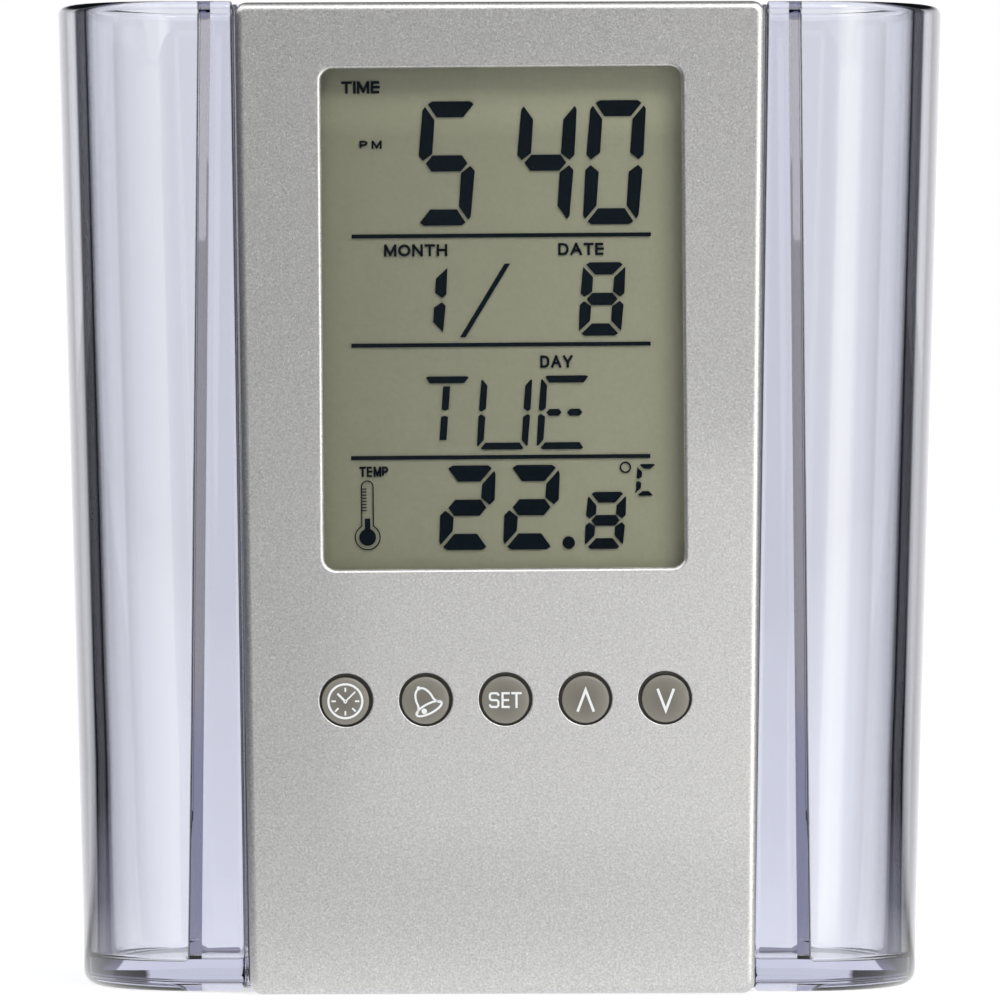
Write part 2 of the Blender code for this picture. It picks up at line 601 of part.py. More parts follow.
def make_display_frame(black):
    """Frame round the cell, with a ledge behind its sides, screw ears below and hooks above."""
    back_y = BOARD_FRONT_Y - GAP
    frame = box("lcd_frame", (-FRAME_HALF, FRAME_HALF), (LENS_FRONT_Y, back_y), (FRAME_BOTTOM, FRAME_TOP), black)
    ears = []
    for index, (x, z) in enumerate(high_board_screw_places()):
        join(frame, box(f"ear_{index}", (x - POST_DIAMETER / 2, x + POST_DIAMETER / 2),
                        (LENS_FRONT_Y, back_y), (z - POST_DIAMETER / 2, FRAME_BOTTOM + FRAME_BAR / 2)))
        ears.append(rod(f"ear_bore_{index}", x, z, (LENS_FRONT_Y + PAST, back_y + PAST),
                        SCREW_SHANK + 2 * GAP, 12))
    half = GLASS_HALF + GAP
    cut(frame, box("cell_seat", (-half, half), (LENS_FRONT_Y - PAST, CELL_BACK_Y + GAP),
                   (GLASS_BOTTOM - GAP, GLASS_TOP + GAP)))
    ledge = GLASS_HALF - FRAME_LEDGE
    cut(frame, box("frame_opening", (-ledge, ledge), (CELL_BACK_Y, back_y + PAST),
                   (GLASS_BOTTOM, GLASS_TOP)))
    cut(frame, *ears)
    hook_back = BOARD_BACK_Y + GAP + FRAME_HOOK_THICKNESS
    for side in (-1, 1):
        limits = sorted((side * FRAME_HOOK_X, side * (FRAME_HOOK_X + FRAME_HOOK_WIDTH)))
        limits = (limits[0] - FRAME_HOOK_WIDTH / 2 * side, limits[1] - FRAME_HOOK_WIDTH / 2 * side)
        join(frame, box(f"hook_{side}", limits, (back_y - PAST, hook_back), (BOARD_TOP + GAP, FRAME_TOP)))
        join(frame, box(f"hook_nib_{side}", limits, (BOARD_BACK_Y + GAP, hook_back),
                        (BOARD_TOP - FRAME_HOOK_NIB, FRAME_TOP)))
    return frame


def make_buttons(cap_grey, carbon, silicone):
    """Five caps that slide in the panel, the pills behind them and the mat that guides them."""
    radius = BUTTON_DIAMETER / 2
    flange = BUTTON_FLANGE_DIAMETER / 2
    front_y = PANEL_FRONT_Y - BUTTON_PROUD
    flange_front_y = FRONT_INNER_Y + GAP
    pill_back_y = BOARD_FRONT_Y - GAP - BUTTON_TRAVEL
    pill_front_y = pill_back_y - PILL_LENGTH
    stem_back_y = pill_front_y - GAP
    crown = [(radius * math.sin(t * math.pi / 12), -BUTTON_DOME * (1 - math.cos(t * math.pi / 12)))
             for t in range(7)]
    shoulder = flange_front_y - front_y
    foot = shoulder + BUTTON_FLANGE_THICKNESS
    depth = stem_back_y - front_y
    profile = crown + [(radius, -shoulder), (flange, -shoulder), (flange, -foot), (radius, -foot),
                       (PILL_DIAMETER / 2, -depth), (0.0, -depth)]
    pill = [(0.0, 0.0), (PILL_DIAMETER / 2, 0.0), (PILL_DIAMETER / 2, -PILL_LENGTH), (0.0, -PILL_LENGTH)]
    for index, label in enumerate(BUTTON_NAMES):
        x = button_x(index)
        cap_mesh = turned_mesh(label + "_button", profile, BUTTON_SEGMENTS)
        placed(label + "_button", cap_mesh, (x, front_y, BUTTON_HEIGHT), TO_FRONT, cap_grey)
        pill_mesh = turned_mesh(label + "_pill", pill, 16)
        placed(label + "_pill", pill_mesh, (x, pill_front_y, BUTTON_HEIGHT), TO_FRONT, carbon)

    mat_back_y = BOARD_FRONT_Y - GAP
    mat_front_y = mat_back_y - MAT_THICKNESS
    mat = box("keypad_mat", (-MAT_HALF, MAT_HALF), (mat_front_y, mat_back_y),
              (MAT_BOTTOM, MAT_BOTTOM + MAT_HEIGHT), silicone)
    collar_front_y = mat_front_y - MAT_COLLAR_HEIGHT
    bores = []
    for index, label in enumerate(BUTTON_NAMES):
        x = button_x(index)
        join(mat, rod(label + "_collar", x, BUTTON_HEIGHT, (collar_front_y, mat_back_y - MAT_THICKNESS / 2),
                      MAT_COLLAR_DIAMETER))
        bores.append(rod(label + "_collar_bore", x, BUTTON_HEIGHT, (collar_front_y - PAST, mat_back_y + PAST),
                         MAT_COLLAR_BORE))
    cut(mat, *bores)


def make_board(green, resin, steel, bead, brass):
    """Circuit board with its chip, crystal, thermistor and the sounder behind it."""
    board = box("main_pcb", (-MAT_HALF, MAT_HALF), (BOARD_FRONT_Y, BOARD_BACK_Y), (BOARD_BOTTOM, BOARD_TOP), green)
    half = BOARD_UPPER_HALF
    join(board, box("board_upper", (-half, half), (BOARD_FRONT_Y, BOARD_BACK_Y), (BOARD_STEP, BOARD_TOP)))
    for index, (x, z) in enumerate(low_board_screw_places() + high_board_screw_places()):
        cut(board, rod(f"board_hole_{index}", x, z, (BOARD_FRONT_Y - PAST, BOARD_BACK_Y + PAST),
                       SCREW_SHANK + 2 * GAP, 12))

    surface_y = BOARD_BACK_Y + GAP
    dome = [(BLOB_DIAMETER / 2 * math.sin(t * math.pi / 12), BLOB_HEIGHT * math.cos(t * math.pi / 12))
            for t in range(7)]
    blob = turned_mesh("chip_blob", dome + [(0.0, 0.0)], 24)
    placed("chip_blob", blob, (0.0, surface_y, BLOB_Z), TO_REAR, resin)

    radius = CRYSTAL_DIAMETER / 2
    half = CRYSTAL_LENGTH / 2
    can = [(0.0, half), (radius * 0.8, half), (radius, half - radius * 0.2), (radius, -half), (0.0, -half)]
    crystal = turned_mesh("quartz_crystal", can, 16)
    placed("quartz_crystal", crystal, (CRYSTAL_X, surface_y + radius, CRYSTAL_Z), 0.0, steel)

    radius = THERMISTOR_DIAMETER / 2
    drop = [(radius * math.sin(t * math.pi / 8), radius * math.cos(t * math.pi / 8)) for t in range(9)]
    bead_y = surface_y + THERMISTOR_LEAD_LENGTH
    thermistor = placed("thermistor", turned_mesh("thermistor", drop, 16),
                        (THERMISTOR_X, bead_y, THERMISTOR_Z), TO_REAR, bead)
    for side in (-1, 1):
        x = THERMISTOR_X + side * THERMISTOR_LEAD_PITCH / 2
        join(thermistor, rod(f"thermistor_lead_{side}", x, THERMISTOR_Z, (surface_y, bead_y),
                             THERMISTOR_LEAD, 8))

    outer = DISC_DIAMETER / 2
    inner = DISC_CERAMIC_DIAMETER / 2
    total = DISC_THICKNESS + DISC_CERAMIC_THICKNESS
    plate = [(0.0, total), (inner, total), (inner, DISC_THICKNESS), (outer, DISC_THICKNESS), (outer, 0.0),
             (0.0, 0.0)]
    disc = turned_mesh("alarm_disc", plate, 32)
    placed("alarm_disc", disc, (0.0, REAR_INNER_Y - GAP, BLOB_Z), TO_FRONT, brass)


def make_power(steel, spring):
    """Two button cells side by side, the contacts that join them in a row and the door below."""
    rim = CELL_DIAMETER / 2
    cap = CELL_CAP_DIAMETER / 2
    profile = [(0.0, CELL_LENGTH), (cap, CELL_LENGTH), (cap, CELL_LENGTH - CELL_CAP_LENGTH),
               (rim, CELL_LENGTH - CELL_CAP_LENGTH), (rim, 0.0), (0.0, 0.0)]
    half = CELL_SPACING / 2
    placed("battery_cell_1", turned_mesh("battery_cell_1", profile, 32),
           (-half, BATTERY_BACK_Y, BATTERY_Z), TO_FRONT, steel)
    placed("battery_cell_2", turned_mesh("battery_cell_2", profile, 32),
           (half, BATTERY_FRONT_Y, BATTERY_Z), TO_REAR, steel)

    reach = half + CONTACT_WIDTH / 2
    box("contact_bridge", (-reach, reach), (BRIDGE_FRONT_Y, BRIDGE_BACK_Y),
        (BATTERY_Z - CONTACT_WIDTH / 2, BATTERY_Z + CONTACT_WIDTH / 2), spring)
    lug_top = BOARD_BOTTOM + CONTACT_LUG
    for name, side in (("contact_positive", 1), ("contact_negative", -1)):
        limits = (side * half - CONTACT_WIDTH / 2, side * half + CONTACT_WIDTH / 2)
        contact = box(name, limits, (LUG_FRONT_Y, LUG_BACK_Y), (BATTERY_Z - CONTACT_WIDTH / 2, lug_top), spring)
        lug = (side * half - CONTACT_LUG / 2, side * half + CONTACT_LUG / 2)
        join(contact, box(name + "_lug", lug, (BOARD_BACK_Y + GAP, LUG_BACK_Y),
                          (lug_top - CONTACT_THICKNESS, lug_top)))


def make_battery_door(dark):
    """Door in the module's underside, which swings down on two short pins at its rear edge."""
    door = box("battery_door", (-DOOR_HALF, DOOR_HALF), (DOOR_FRONT_Y, DOOR_BACK_Y), (DOOR_BOTTOM, DOOR_TOP), dark)
    bm = bmesh.new()
    bm.from_mesh(door.data)
    hinge_edges = [e for e in bm.edges if all(abs(v.co.y - DOOR_BACK_Y) < GAP / 2 for v in e.verts)
                   and abs(e.verts[0].co.z - e.verts[1].co.z) < GAP / 2]
    bmesh.ops.bevel(bm, geom=hinge_edges, offset=DOOR_EDGE_ROUND, segments=3, profile=0.5, affect="EDGES")
    bm.to_mesh(door.data)
    bm.free()
    bm = bmesh.new()
    place = Matrix.Rotation(math.pi / 2, 4, "Y")
    bmesh.ops.create_cone(bm, cap_ends=True, segments=12, radius1=DOOR_PIN_DIAMETER / 2,
                          radius2=DOOR_PIN_DIAMETER / 2, depth=2 * (DOOR_HALF + DOOR_PIN_LENGTH), matrix=place)
    pins = object_from("door_pins", bm)
    pins.location = (0.0, DOOR_PIN_Y, DOOR_PIN_Z)
    join(door, pins)
    centre_y = (DOOR_FRONT_Y + DOOR_BACK_Y) / 2
    for row in (-1, 0, 1):
        y = centre_y + row * 4 * DOOR_GRIP_DEPTH
        cut(door, box(f"door_grip_{row}", (-DOOR_GRIP_WIDTH / 2, DOOR_GRIP_WIDTH / 2),
                      (y - DOOR_GRIP_DEPTH, y + DOOR_GRIP_DEPTH), (-PAST, DOOR_BOTTOM + DOOR_GRIP_DEPTH)))
    pivot = bpy.data.objects.new("battery_door_axis", None)
    pivot.location = (0.0, DOOR_PIN_Y, DOOR_PIN_Z)
    collection("pen_holder_clock").objects.link(pivot)
    bpy.context.view_layer.update()
    door.parent = pivot
    door.matrix_parent_inverse = pivot.matrix_world.inverted()
    return door


def screw_profile(length):
    """Profile of a pan head screw whose head's seat is at height 0."""
    head = SCREW_HEAD / 2
    shank = SCREW_SHANK / 2
    top = SCREW_HEAD_HEIGHT
    return [(0.0, top), (head * 0.7, top), (head, top * 0.6), (head, 0.0), (shank, 0.0),
            (shank, -length + shank), (shank * 0.3, -length), (0.0, -length)]


def make_screws(name, places, seat_y, length, steel):
    """A set of like screws that point forwards, each an object of its own."""
    for index, (x, z) in enumerate(places, start=1):
        label = f"{name}_{index}"
        screw = placed(label, turned_mesh(label, screw_profile(length), 16), (x, seat_y, z), TO_REAR, steel)
        slot_y = seat_y + SCREW_HEAD_HEIGHT
        cut(screw, box(f"{label}_slot", (x - SCREW_SLOT / 2, x + SCREW_SLOT / 2),
                       (slot_y - SCREW_SLOT, slot_y + PAST), (z - SCREW_HEAD, z + SCREW_HEAD)))


def main():
    """Build every piece of the pen holder clock."""
    remove_everything()
    clear = material("clear_plastic", (0.90, 0.91, 0.96), 0.03, 0.0, 1.0)
    silver = material("silver_paint", (0.62, 0.62, 0.60), 0.38, 0.75)
    dark = material("dark_plastic", (0.05, 0.05, 0.055), 0.5)
    glass = material("display_cell", (0.31, 0.32, 0.25), 0.25)
    foil = material("reflector_foil", (0.72, 0.73, 0.66), 0.45, 0.3)
    black = material("black_plastic", (0.03, 0.03, 0.03), 0.55)
    stripe = material("striped_rubber", (0.25, 0.22, 0.24), 0.7)
    cap_grey = material("button_grey", (0.24, 0.225, 0.20), 0.42)
    carbon = material("carbon_rubber", (0.02, 0.02, 0.02), 0.8)
    silicone = material("silicone_mat", (0.30, 0.29, 0.28), 0.65)
    green = material("circuit_board", (0.03, 0.16, 0.07), 0.45)
    resin = material("black_resin", (0.015, 0.015, 0.015), 0.2)
    steel = material("bright_steel", (0.72, 0.72, 0.73), 0.25, 1.0)
    bead = material("epoxy_bead", (0.10, 0.05, 0.03), 0.4)
    brass = material("sounder_brass", (0.72, 0.55, 0.25), 0.3, 1.0)
    spring = material("contact_steel", (0.68, 0.67, 0.62), 0.3, 1.0)

    make_pen_cup(clear)
    make_front_cover(silver)
    make_rear_cover(dark)
    make_display(clear, glass, foil, black, stripe)
    make_buttons(cap_grey, carbon, silicone)
    make_board(green, resin, steel, bead, brass)
    make_power(steel, spring)
    make_battery_door(dark)
    make_screws("case_screw", case_screw_places(),
                MODULE_BACK_Y - GAP - SCREW_HEAD_HEIGHT, CASE_SCREW_LENGTH, steel)
    make_screws("pcb_screw", low_board_screw_places() + high_board_screw_places(),
                BOARD_BACK_Y + GAP, PCB_SCREW_LENGTH, steel)


if __name__ == "__main__":
    main()
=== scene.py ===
"""Dressed scene of a clear pen cup with a silver digital clock module set in its front wall.

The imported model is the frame. Each operator builds one piece, or one group of like pieces,
as a surface worked out from a formula, and hangs it on the body that carries it.
"""

import json
import math

import bmesh
import bpy
import numpy as np
from bpy.props import FloatProperty, FloatVectorProperty, PointerProperty
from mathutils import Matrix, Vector
from mathutils.geometry import delaunay_2d_cdt

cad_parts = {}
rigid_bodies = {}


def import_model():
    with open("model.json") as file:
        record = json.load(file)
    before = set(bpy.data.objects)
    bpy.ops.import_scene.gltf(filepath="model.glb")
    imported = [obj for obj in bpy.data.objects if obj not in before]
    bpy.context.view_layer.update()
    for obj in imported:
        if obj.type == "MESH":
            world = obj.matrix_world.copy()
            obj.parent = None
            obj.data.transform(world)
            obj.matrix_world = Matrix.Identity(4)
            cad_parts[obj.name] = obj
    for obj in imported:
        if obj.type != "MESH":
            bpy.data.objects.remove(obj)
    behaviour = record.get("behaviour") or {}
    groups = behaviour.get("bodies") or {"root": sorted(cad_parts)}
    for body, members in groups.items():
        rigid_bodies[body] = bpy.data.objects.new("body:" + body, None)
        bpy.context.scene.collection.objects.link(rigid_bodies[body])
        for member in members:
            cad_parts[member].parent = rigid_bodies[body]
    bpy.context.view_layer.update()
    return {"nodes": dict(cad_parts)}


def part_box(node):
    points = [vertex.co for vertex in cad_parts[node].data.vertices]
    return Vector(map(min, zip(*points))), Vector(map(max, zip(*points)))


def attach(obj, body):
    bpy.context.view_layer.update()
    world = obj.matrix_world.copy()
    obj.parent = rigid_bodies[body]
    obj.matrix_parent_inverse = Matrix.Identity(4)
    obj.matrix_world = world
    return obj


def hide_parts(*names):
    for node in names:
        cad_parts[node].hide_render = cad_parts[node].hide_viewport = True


bl_info = {
    "name": "Pen Holder Clock",
    "version": (1, 0, 0),
    "blender": (4, 5, 0),
    "location": "3D View > Sidebar > Pen Clock",
    "description": "Dresses the packed pen holder clock and sets it on a plain stage",
    "category": "Object",
}

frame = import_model()

MM = 0.001
CUP_LOW, CUP_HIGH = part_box("pen_cup")
SHELL_LOW, SHELL_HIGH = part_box("front_cover")
LENS_LOW, LENS_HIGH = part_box("lcd_window")
FIELD_LOW, FIELD_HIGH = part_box("lcd_glass")
BOARD_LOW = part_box("main_pcb")[0]
KEY_NAMES = ("clock", "alarm", "set", "up", "down")


def size(label, note, value):
    """Length that a user may change, given in millimetres."""
    return FloatProperty(name=label, description=note, default=value * MM, unit="LENGTH",
                         subtype="DISTANCE", precision=5)


def tone(label, note, value):
    """Linear colour that a user may change."""
    return FloatVectorProperty(name=label, description=note, default=value, size=3, min=0.0,
                               max=4.0, subtype="COLOR")


def amount(label, note, value):
    """Plain number that a user may change."""
    return FloatProperty(name=label, description=note, default=value)


def angular(label, note, value):
    """Angle that a user may change, given in degrees."""
    return FloatProperty(name=label, description=note, default=math.radians(value), subtype="ANGLE",
                         unit="ROTATION")


class CupSizes(bpy.types.PropertyGroup):
    """Sizes of the clear cup."""

    width: size("Width", "Width of the cup at its rim", (CUP_HIGH.x - CUP_LOW.x) / MM)
    width_taper: size("Width taper", "How much narrower the foot is than the rim", 5.6)
    depth: size("Depth", "Depth of the cup at its rim", (CUP_HIGH.y - CUP_LOW.y) / MM)
    depth_taper: size("Depth taper", "How much shallower the foot is than the rim", 1.2)
    end_length: size("End length", "Length of the quarter ellipses at each end", 12.0)
    wall: size("Wall", "Thickness of the wall", 2.1)
    floor: size("Floor", "Thickness of the floor", 3.0)
    foot_fillet: size("Foot fillet", "Radius round the foot", 1.5)
    rim_round: size("Rim round", "Radius outside the rim", 0.8)
    rim_inner_round: size("Inner rim round", "Radius inside the rim", 0.5)
    cavity_fillet: size("Cavity fillet", "Radius where the walls meet the floor inside", 0.5)
    pocket_depth: size("Pocket depth", "Depth of the pocket that takes the module", 12.0)
    pocket_back_wall: size("Pocket back wall", "Thickness behind the pocket", 2.2)
    pocket_side_rim: size("Pocket side at rim", "Thickness beside the pocket at the rim", 3.4)
    pocket_side_foot: size("Pocket side at foot", "Thickness beside the pocket at the foot", 5.6)
    pocket_corner: size("Pocket corner", "Radius in the pocket's back corners", 0.8)
    lead_width: size("Lead width", "Width of the rounded way into the pocket", 0.6)
    lead_depth: size("Lead depth", "Depth of the rounded way into the pocket", 0.6)
    wall_corner: size("Wall corner", "Cut across the pocket wall's corners in the cavity", 1.0)
    wall_fillet: size("Wall fillet", "Radius where the pocket wall meets the front wall", 0.2)


class ShellSizes(bpy.types.PropertyGroup):
    """Sizes of the silver front shell."""

    width: size("Width", "Width of the shell at the cup's rim height", 53.3)
    taper: size("Taper", "How much narrower the shell is at the foot", 2.6)
    gap: size("Gap", "Gap between the module and its pocket", 0.3)
    edge_round: size("Edge round", "Radius round the front face", 0.8)
    corner: size("Corner", "Radius of the corners seen from the front", 1.3)
    front_wall: size("Front wall", "Thickness of the front wall", 1.8)
    side_wall: size("Side wall", "Thickness of the side walls", 1.6)
    window_border: size("Lens border", "How far the lens reaches behind the window's edge", 2.0)
    window_corner: size("Window corner", "Radius of the window's corners", 1.2)
    window_lip: size("Window lip", "Radius of the window's rounded lip", 0.38)
    hole_diameter: size("Key hole", "Diameter of the holes for the keys", 5.35)
    hole_lip: size("Key hole lip", "Radius of the rounded lip of the key holes", 0.12)
    post_diameter: size("Post", "Diameter of the screw posts inside", 4.0)
    post_bore: size("Post bore", "Diameter of the bores in the posts", 2.6)
    flake_size: size("Flake", "Size of the flakes in the paint", 0.11)
    lean: angular("Lean", "How far the module sits askew in its pocket", 0.17)
    face_lean: angular("Face lean", "How far window and keys sit askew in the shell", 0.26)
    face_shift: size("Face shift", "How far window and keys sit to the right of the middle", 0.08)


class DisplaySizes(bpy.types.PropertyGroup):
    """Sizes of the signs in the display."""

    lift: size("Lift", "How far the signs stand in front of the field", 0.16)
    thickness: size("Thickness", "Thickness of the signs", 0.03)
    slant: amount("Slant", "Lean of the digits, as run over rise", 0.0755)
    segment_gap: size("Segment gap", "Gap between neighbouring segments", 0.26)
    rule_width: size("Rule width", "Width of the lines between the rows", 0.40)
    rule_length: size("Rule length", "Length of the lines between the rows", 30.1)


class KeySizes(bpy.types.PropertyGroup):
    """Sizes of the keys and of the signs printed on them."""

    cap_diameter: size("Cap", "Diameter of the caps", 4.75)
    dome: size("Dome", "Rise of the domed top", 0.35)
    flange_diameter: size("Flange", "Diameter of the flange behind the panel", 6.5)
    flange_thickness: size("Flange thickness", "Thickness of the flange", 0.7)
    foot_diameter: size("Foot", "Diameter of the stem's end", 4.0)
    settle: size("Settle", "How far a cap rests off the middle of its hole", 0.10)
    print_height: size("Print height", "Thickness of the printed signs", 0.02)


class Finishes(bpy.types.PropertyGroup):
    """Colours of the finishes, as linear values."""

    clear: tone("Clear plastic", "Tint of the clear cup", (0.93, 0.935, 0.965))
    silver: tone("Silver paint", "Base of the silver paint", (0.612, 0.614, 0.612))
    field: tone("Display field", "Grey-green field of the display", (0.465, 0.465, 0.325))
    segment: tone("Segments", "Blue-black of the display's signs", (0.004, 0.010, 0.015))
    key: tone("Key", "Grey-brown of the keys", (0.180, 0.168, 0.142))
    print: tone("Print", "White of the printed signs", (0.85, 0.87, 0.86))
    housing: tone("Housing", "Dark plastic of the rear cover and door", (0.13, 0.13, 0.14))


class StageSizes(bpy.types.PropertyGroup):
    """Camera, lights and surroundings."""

    camera_distance: size("Camera distance", "Distance from the lens to the cup's front", 1500.0)
    camera_height: size("Camera height", "Height of the lens above the floor", 55.6)
    camera_side: size("Camera side", "How far the lens is off the middle", 0.05)
    camera_tilt: angular("Camera tilt", "How far the camera looks down", 0.2274)
    camera_lens: amount("Lens", "Focal length in millimetres on a 36 mm sensor", 535.2)
    backdrop: tone("Backdrop", "Paper behind the object", (1.0, 1.0, 1.0))
    through: tone("Seen through", "Paper as clear plastic shows it", (0.90, 0.915, 0.96))
    soft: tone("Soft light", "Light that fills the room", (0.55, 0.56, 0.58))
    key_power: amount("Key light", "Power of the main light in watts", 4.0)
    fill_power: amount("Fill light", "Power of the low light in watts", 0.055)
    left: tone("Reflected left", "Paper that polish shows on the left", (0.03, 0.035, 0.055))
    front: tone("Reflected front", "Paper that polish shows in front", (0.26, 0.264, 0.27))
    right: tone("Reflected right", "Paper that polish shows on the right", (2.8, 2.7, 2.5))
    top: tone("Reflected top", "Paper that polish shows above", (1.9, 1.86, 1.82))
    band: tone("Dark band", "Dark paper that edges the clear plastic", (0.02, 0.022, 0.03))
    band_start: angular("Band start", "Where the dark band behind begins", 25.0)
    band_end: angular("Band end", "Where the dark band behind ends", 47.0)
    band_soft: angular("Band softness", "Half the width of the bands' soft edges", 1.5)
    aside: tone("Seen aside", "Room past the dark band as clear plastic shows it",
                (0.10, 0.104, 0.115))
    beside: tone("Seen beside", "Room at the sides as clear plastic shows it past bounces",
                 (1.25, 1.22, 0.98))
    floor_glow: amount("Floor glow", "How bright clear plastic shows the floor past a bounce", 0.6)
    inside: tone("Seen inside", "Room as clear plastic shows it past a bounce", (0.33, 0.33, 0.42))
    behind: tone("Reflected behind", "Paper straight behind as polish shows it", (1.33, 1.32, 1.40))


def settings():
    """The property groups that hold this scene's sizes and colours."""
    return bpy.context.scene.pen_clock


# Surfaces


def quarter(steps):
    """Angles of a quarter turn, from 0 to 90 degrees, as one row."""
    return np.linspace(0.0, math.pi / 2, steps)[None, :]


def around(steps):
    """Angles of a full turn in even steps, without the last one that closes it."""
    return np.linspace(0.0, 2 * math.pi, steps, endpoint=False)


def stations(steps):
    """Places along a straight run from 0 to 1, with two near each end that keep it flat."""
    return np.concatenate(([0.0, 0.02], np.linspace(0.1, 0.9, steps), [0.98, 1.0]))[None, :]


def straight(start, end, place):
    """Straight run: start plus place times the way to end, for x and for y."""
    return [s + (e - s) * place for s, e in zip(start, end)]


def bend(start, corner, end, angle):
    """Quarter of an ellipse that leaves start towards corner and reaches end from corner.

    A point is corner + (start - corner)(1 - sin a) + (end - corner)(1 - cos a).
    """
    return [c + (s - c) * (1 - np.sin(angle)) + (e - c) * (1 - np.cos(angle))
            for s, c, e in zip(start, corner, end)]


def mirrored(runs, rows):
    """Closed plan from runs round the right half: x and y with one row per level.

    The left half has the same y and x times -1.
    """
    halves = []
    for axis in (0, 1):
        parts = [np.broadcast_to(run[axis], (rows, run[axis].shape[1])) for run in runs]
        halves.append(np.concatenate([parts[0]] + [part[:, 1:] for part in parts[1:]], axis=1))
    right_x, right_y = halves
    x = np.concatenate((right_x, -right_x[:, -2:0:-1]), axis=1)
    return x, np.concatenate((right_y, right_y[:, -2:0:-1]), axis=1)


def grid_faces(rows, columns):
    """Four-sided faces of a grid of points whose rows close into rings."""
    row, column = np.meshgrid(np.arange(rows - 1), np.arange(columns), indexing="ij")
    corner = row * columns + column
    along = row * columns + (column + 1) % columns
    quads = np.stack((corner, along, along + columns, corner + columns), axis=-1)
    return quads.reshape(-1, 4).tolist()


class Skin:
    """Points and faces gathered from several surfaces before they become one mesh.

    Points nearer to each other than the touching distance become one.
    """

    touching = 0.001 * MM

    def __init__(self):
        self.points = []
        self.faces = []
        self.count = 0

    def add(self, points, faces):
        """Take in points, and faces whose numbers start at the first of them."""
        points = np.asarray(points, float).reshape(-1, 3)
        self.faces += [[self.count + number for number in face] for face in faces]
        self.points.append(points)
        self.count += len(points)

    def add_grid(self, x, y, z, first_cap=False, last_cap=False):
        """Take in a grid surface of closed rows, with flat caps on its end rows if wanted."""
        x, y, z = np.broadcast_arrays(x, y, z)
        rows, columns = x.shape
        faces = grid_faces(rows, columns)
        if first_cap:
            faces.append(list(range(columns)))
        if last_cap:
            faces.append(list(range((rows - 1) * columns, rows * columns)))
        self.add(np.stack((x, y, z), axis=-1), faces)

    def lean(self, angle):
        """Turn what was gathered about the middle of the rim: its foot moves to the right."""
        for points in self.points:
            points[:, 0], points[:, 2] = leaned(points[:, 0], points[:, 2], angle)

    def piece(self, name, material, crease=35.0):
        """Finished object: doubles merged, normals outwards, sharp past the crease in degrees."""
        mesh = bpy.data.meshes.new(name)
        mesh.from_pydata(np.concatenate(self.points).tolist(), [], self.faces)
        work = bmesh.new()
        work.from_mesh(mesh)
        bmesh.ops.remove_doubles(work, verts=work.verts, dist=self.touching)
        bmesh.ops.recalc_face_normals(work, faces=work.faces)
        work.to_mesh(mesh)
        work.free()
        mesh.polygons.foreach_set("use_smooth", np.ones(len(mesh.polygons), bool))
        mesh.set_sharp_from_angle(angle=math.radians(crease))
        mesh.materials.append(material)
        body = bpy.data.objects.new(name, mesh)
        bpy.context.scene.collection.objects.link(body)
        return body


def leaned(x, z, angle):
    """Points turned about the middle of the rim.

    With z counted from the rim, x becomes x cos a - z sin a and z becomes x sin a + z cos a.
    """
    up = z - CUP_HIGH.z
    return (x * math.cos(angle) - up * math.sin(angle),
            x * math.sin(angle) + up * math.cos(angle) + CUP_HIGH.z)


def turned(profile, centre, steps):
    """Surface of revolution along Y: x = cx + r cos a, y = the profile's y, z = cz + r sin a."""
    radius, depth = np.asarray(profile, float).T[:, :, None]
    angle = around(steps)[None, :]
    return centre[0] + radius * np.cos(angle), depth + 0 * angle, centre[1] + radius * np.sin(angle)


def outline(half_low, half_high, low, high, radius):
    """Four-sided outline with rounded corners, one row per radius.

    Straight runs are joined by quarter circles on the right half, which is mirrored in x = 0.
    """
    arc, run = quarter(8), stations(5)
    runs = [straight((0.0 * half_low, low), (half_low - radius, low), run),
            bend((half_low - radius, low), (half_low, low), (half_low, low + radius), arc),
            straight((half_low, low + radius), (half_high, high - radius), run),
            bend((half_high, high - radius), (half_high, high), (half_high - radius, high), arc),
            straight((half_high - radius, high), (0.0 * half_high, high), run)]
    return mirrored(runs, len(radius))


def plate(skin, y, loops):
    """Flat sheet at depth y between an outer loop and its holes, filled with triangles."""
    corners, edges = [], []
    for x, z in loops:
        first = len(corners)
        corners += [Vector((float(a), float(b))) for a, b in zip(x, z)]
        edges += [(first + i, first + (i + 1) % len(x)) for i in range(len(x))]
    found, _, triangles = delaunay_2d_cdt(corners, edges, [], 1, 1e-9)[:3]
    flat = np.array([(v.x, v.y) for v in found])
    middles = flat[np.array(triangles)].mean(axis=1)
    keep = inside(middles, loops[0])
    for loop in loops[1:]:
        keep &= ~inside(middles, loop)
    kept = [triangle for triangle, use in zip(triangles, keep) if use]
    skin.add(np.stack((flat[:, 0], np.full(len(flat), y), flat[:, 1]), axis=-1), kept)


def inside(points, loop):
    """True for the points inside a closed loop, by counting the edges that a ray to +x crosses."""
    x1, z1 = (np.asarray(side, float)[:, None] for side in loop)
    x2, z2 = np.roll(x1, -1, axis=0), np.roll(z1, -1, axis=0)
    px, pz = points[:, 0][None, :], points[:, 1][None, :]
    straddles = (z1 > pz) != (z2 > pz)
    with np.errstate(divide="ignore", invalid="ignore"):
        crossing = x1 + (pz - z1) * (x2 - x1) / (z2 - z1)
    return (straddles & (px < crossing)).sum(axis=0) % 2 == 1


def slab(skin, corners, y_front, y_back):
    """Flat prism: a convex outline in x and z carried from its front depth to its back depth."""
    x, z = np.asarray(corners, float).T
    skin.add_grid(np.stack((x, x)), np.array([[y_front], [y_back]]), np.stack((z, z)),
                  first_cap=True, last_cap=True)


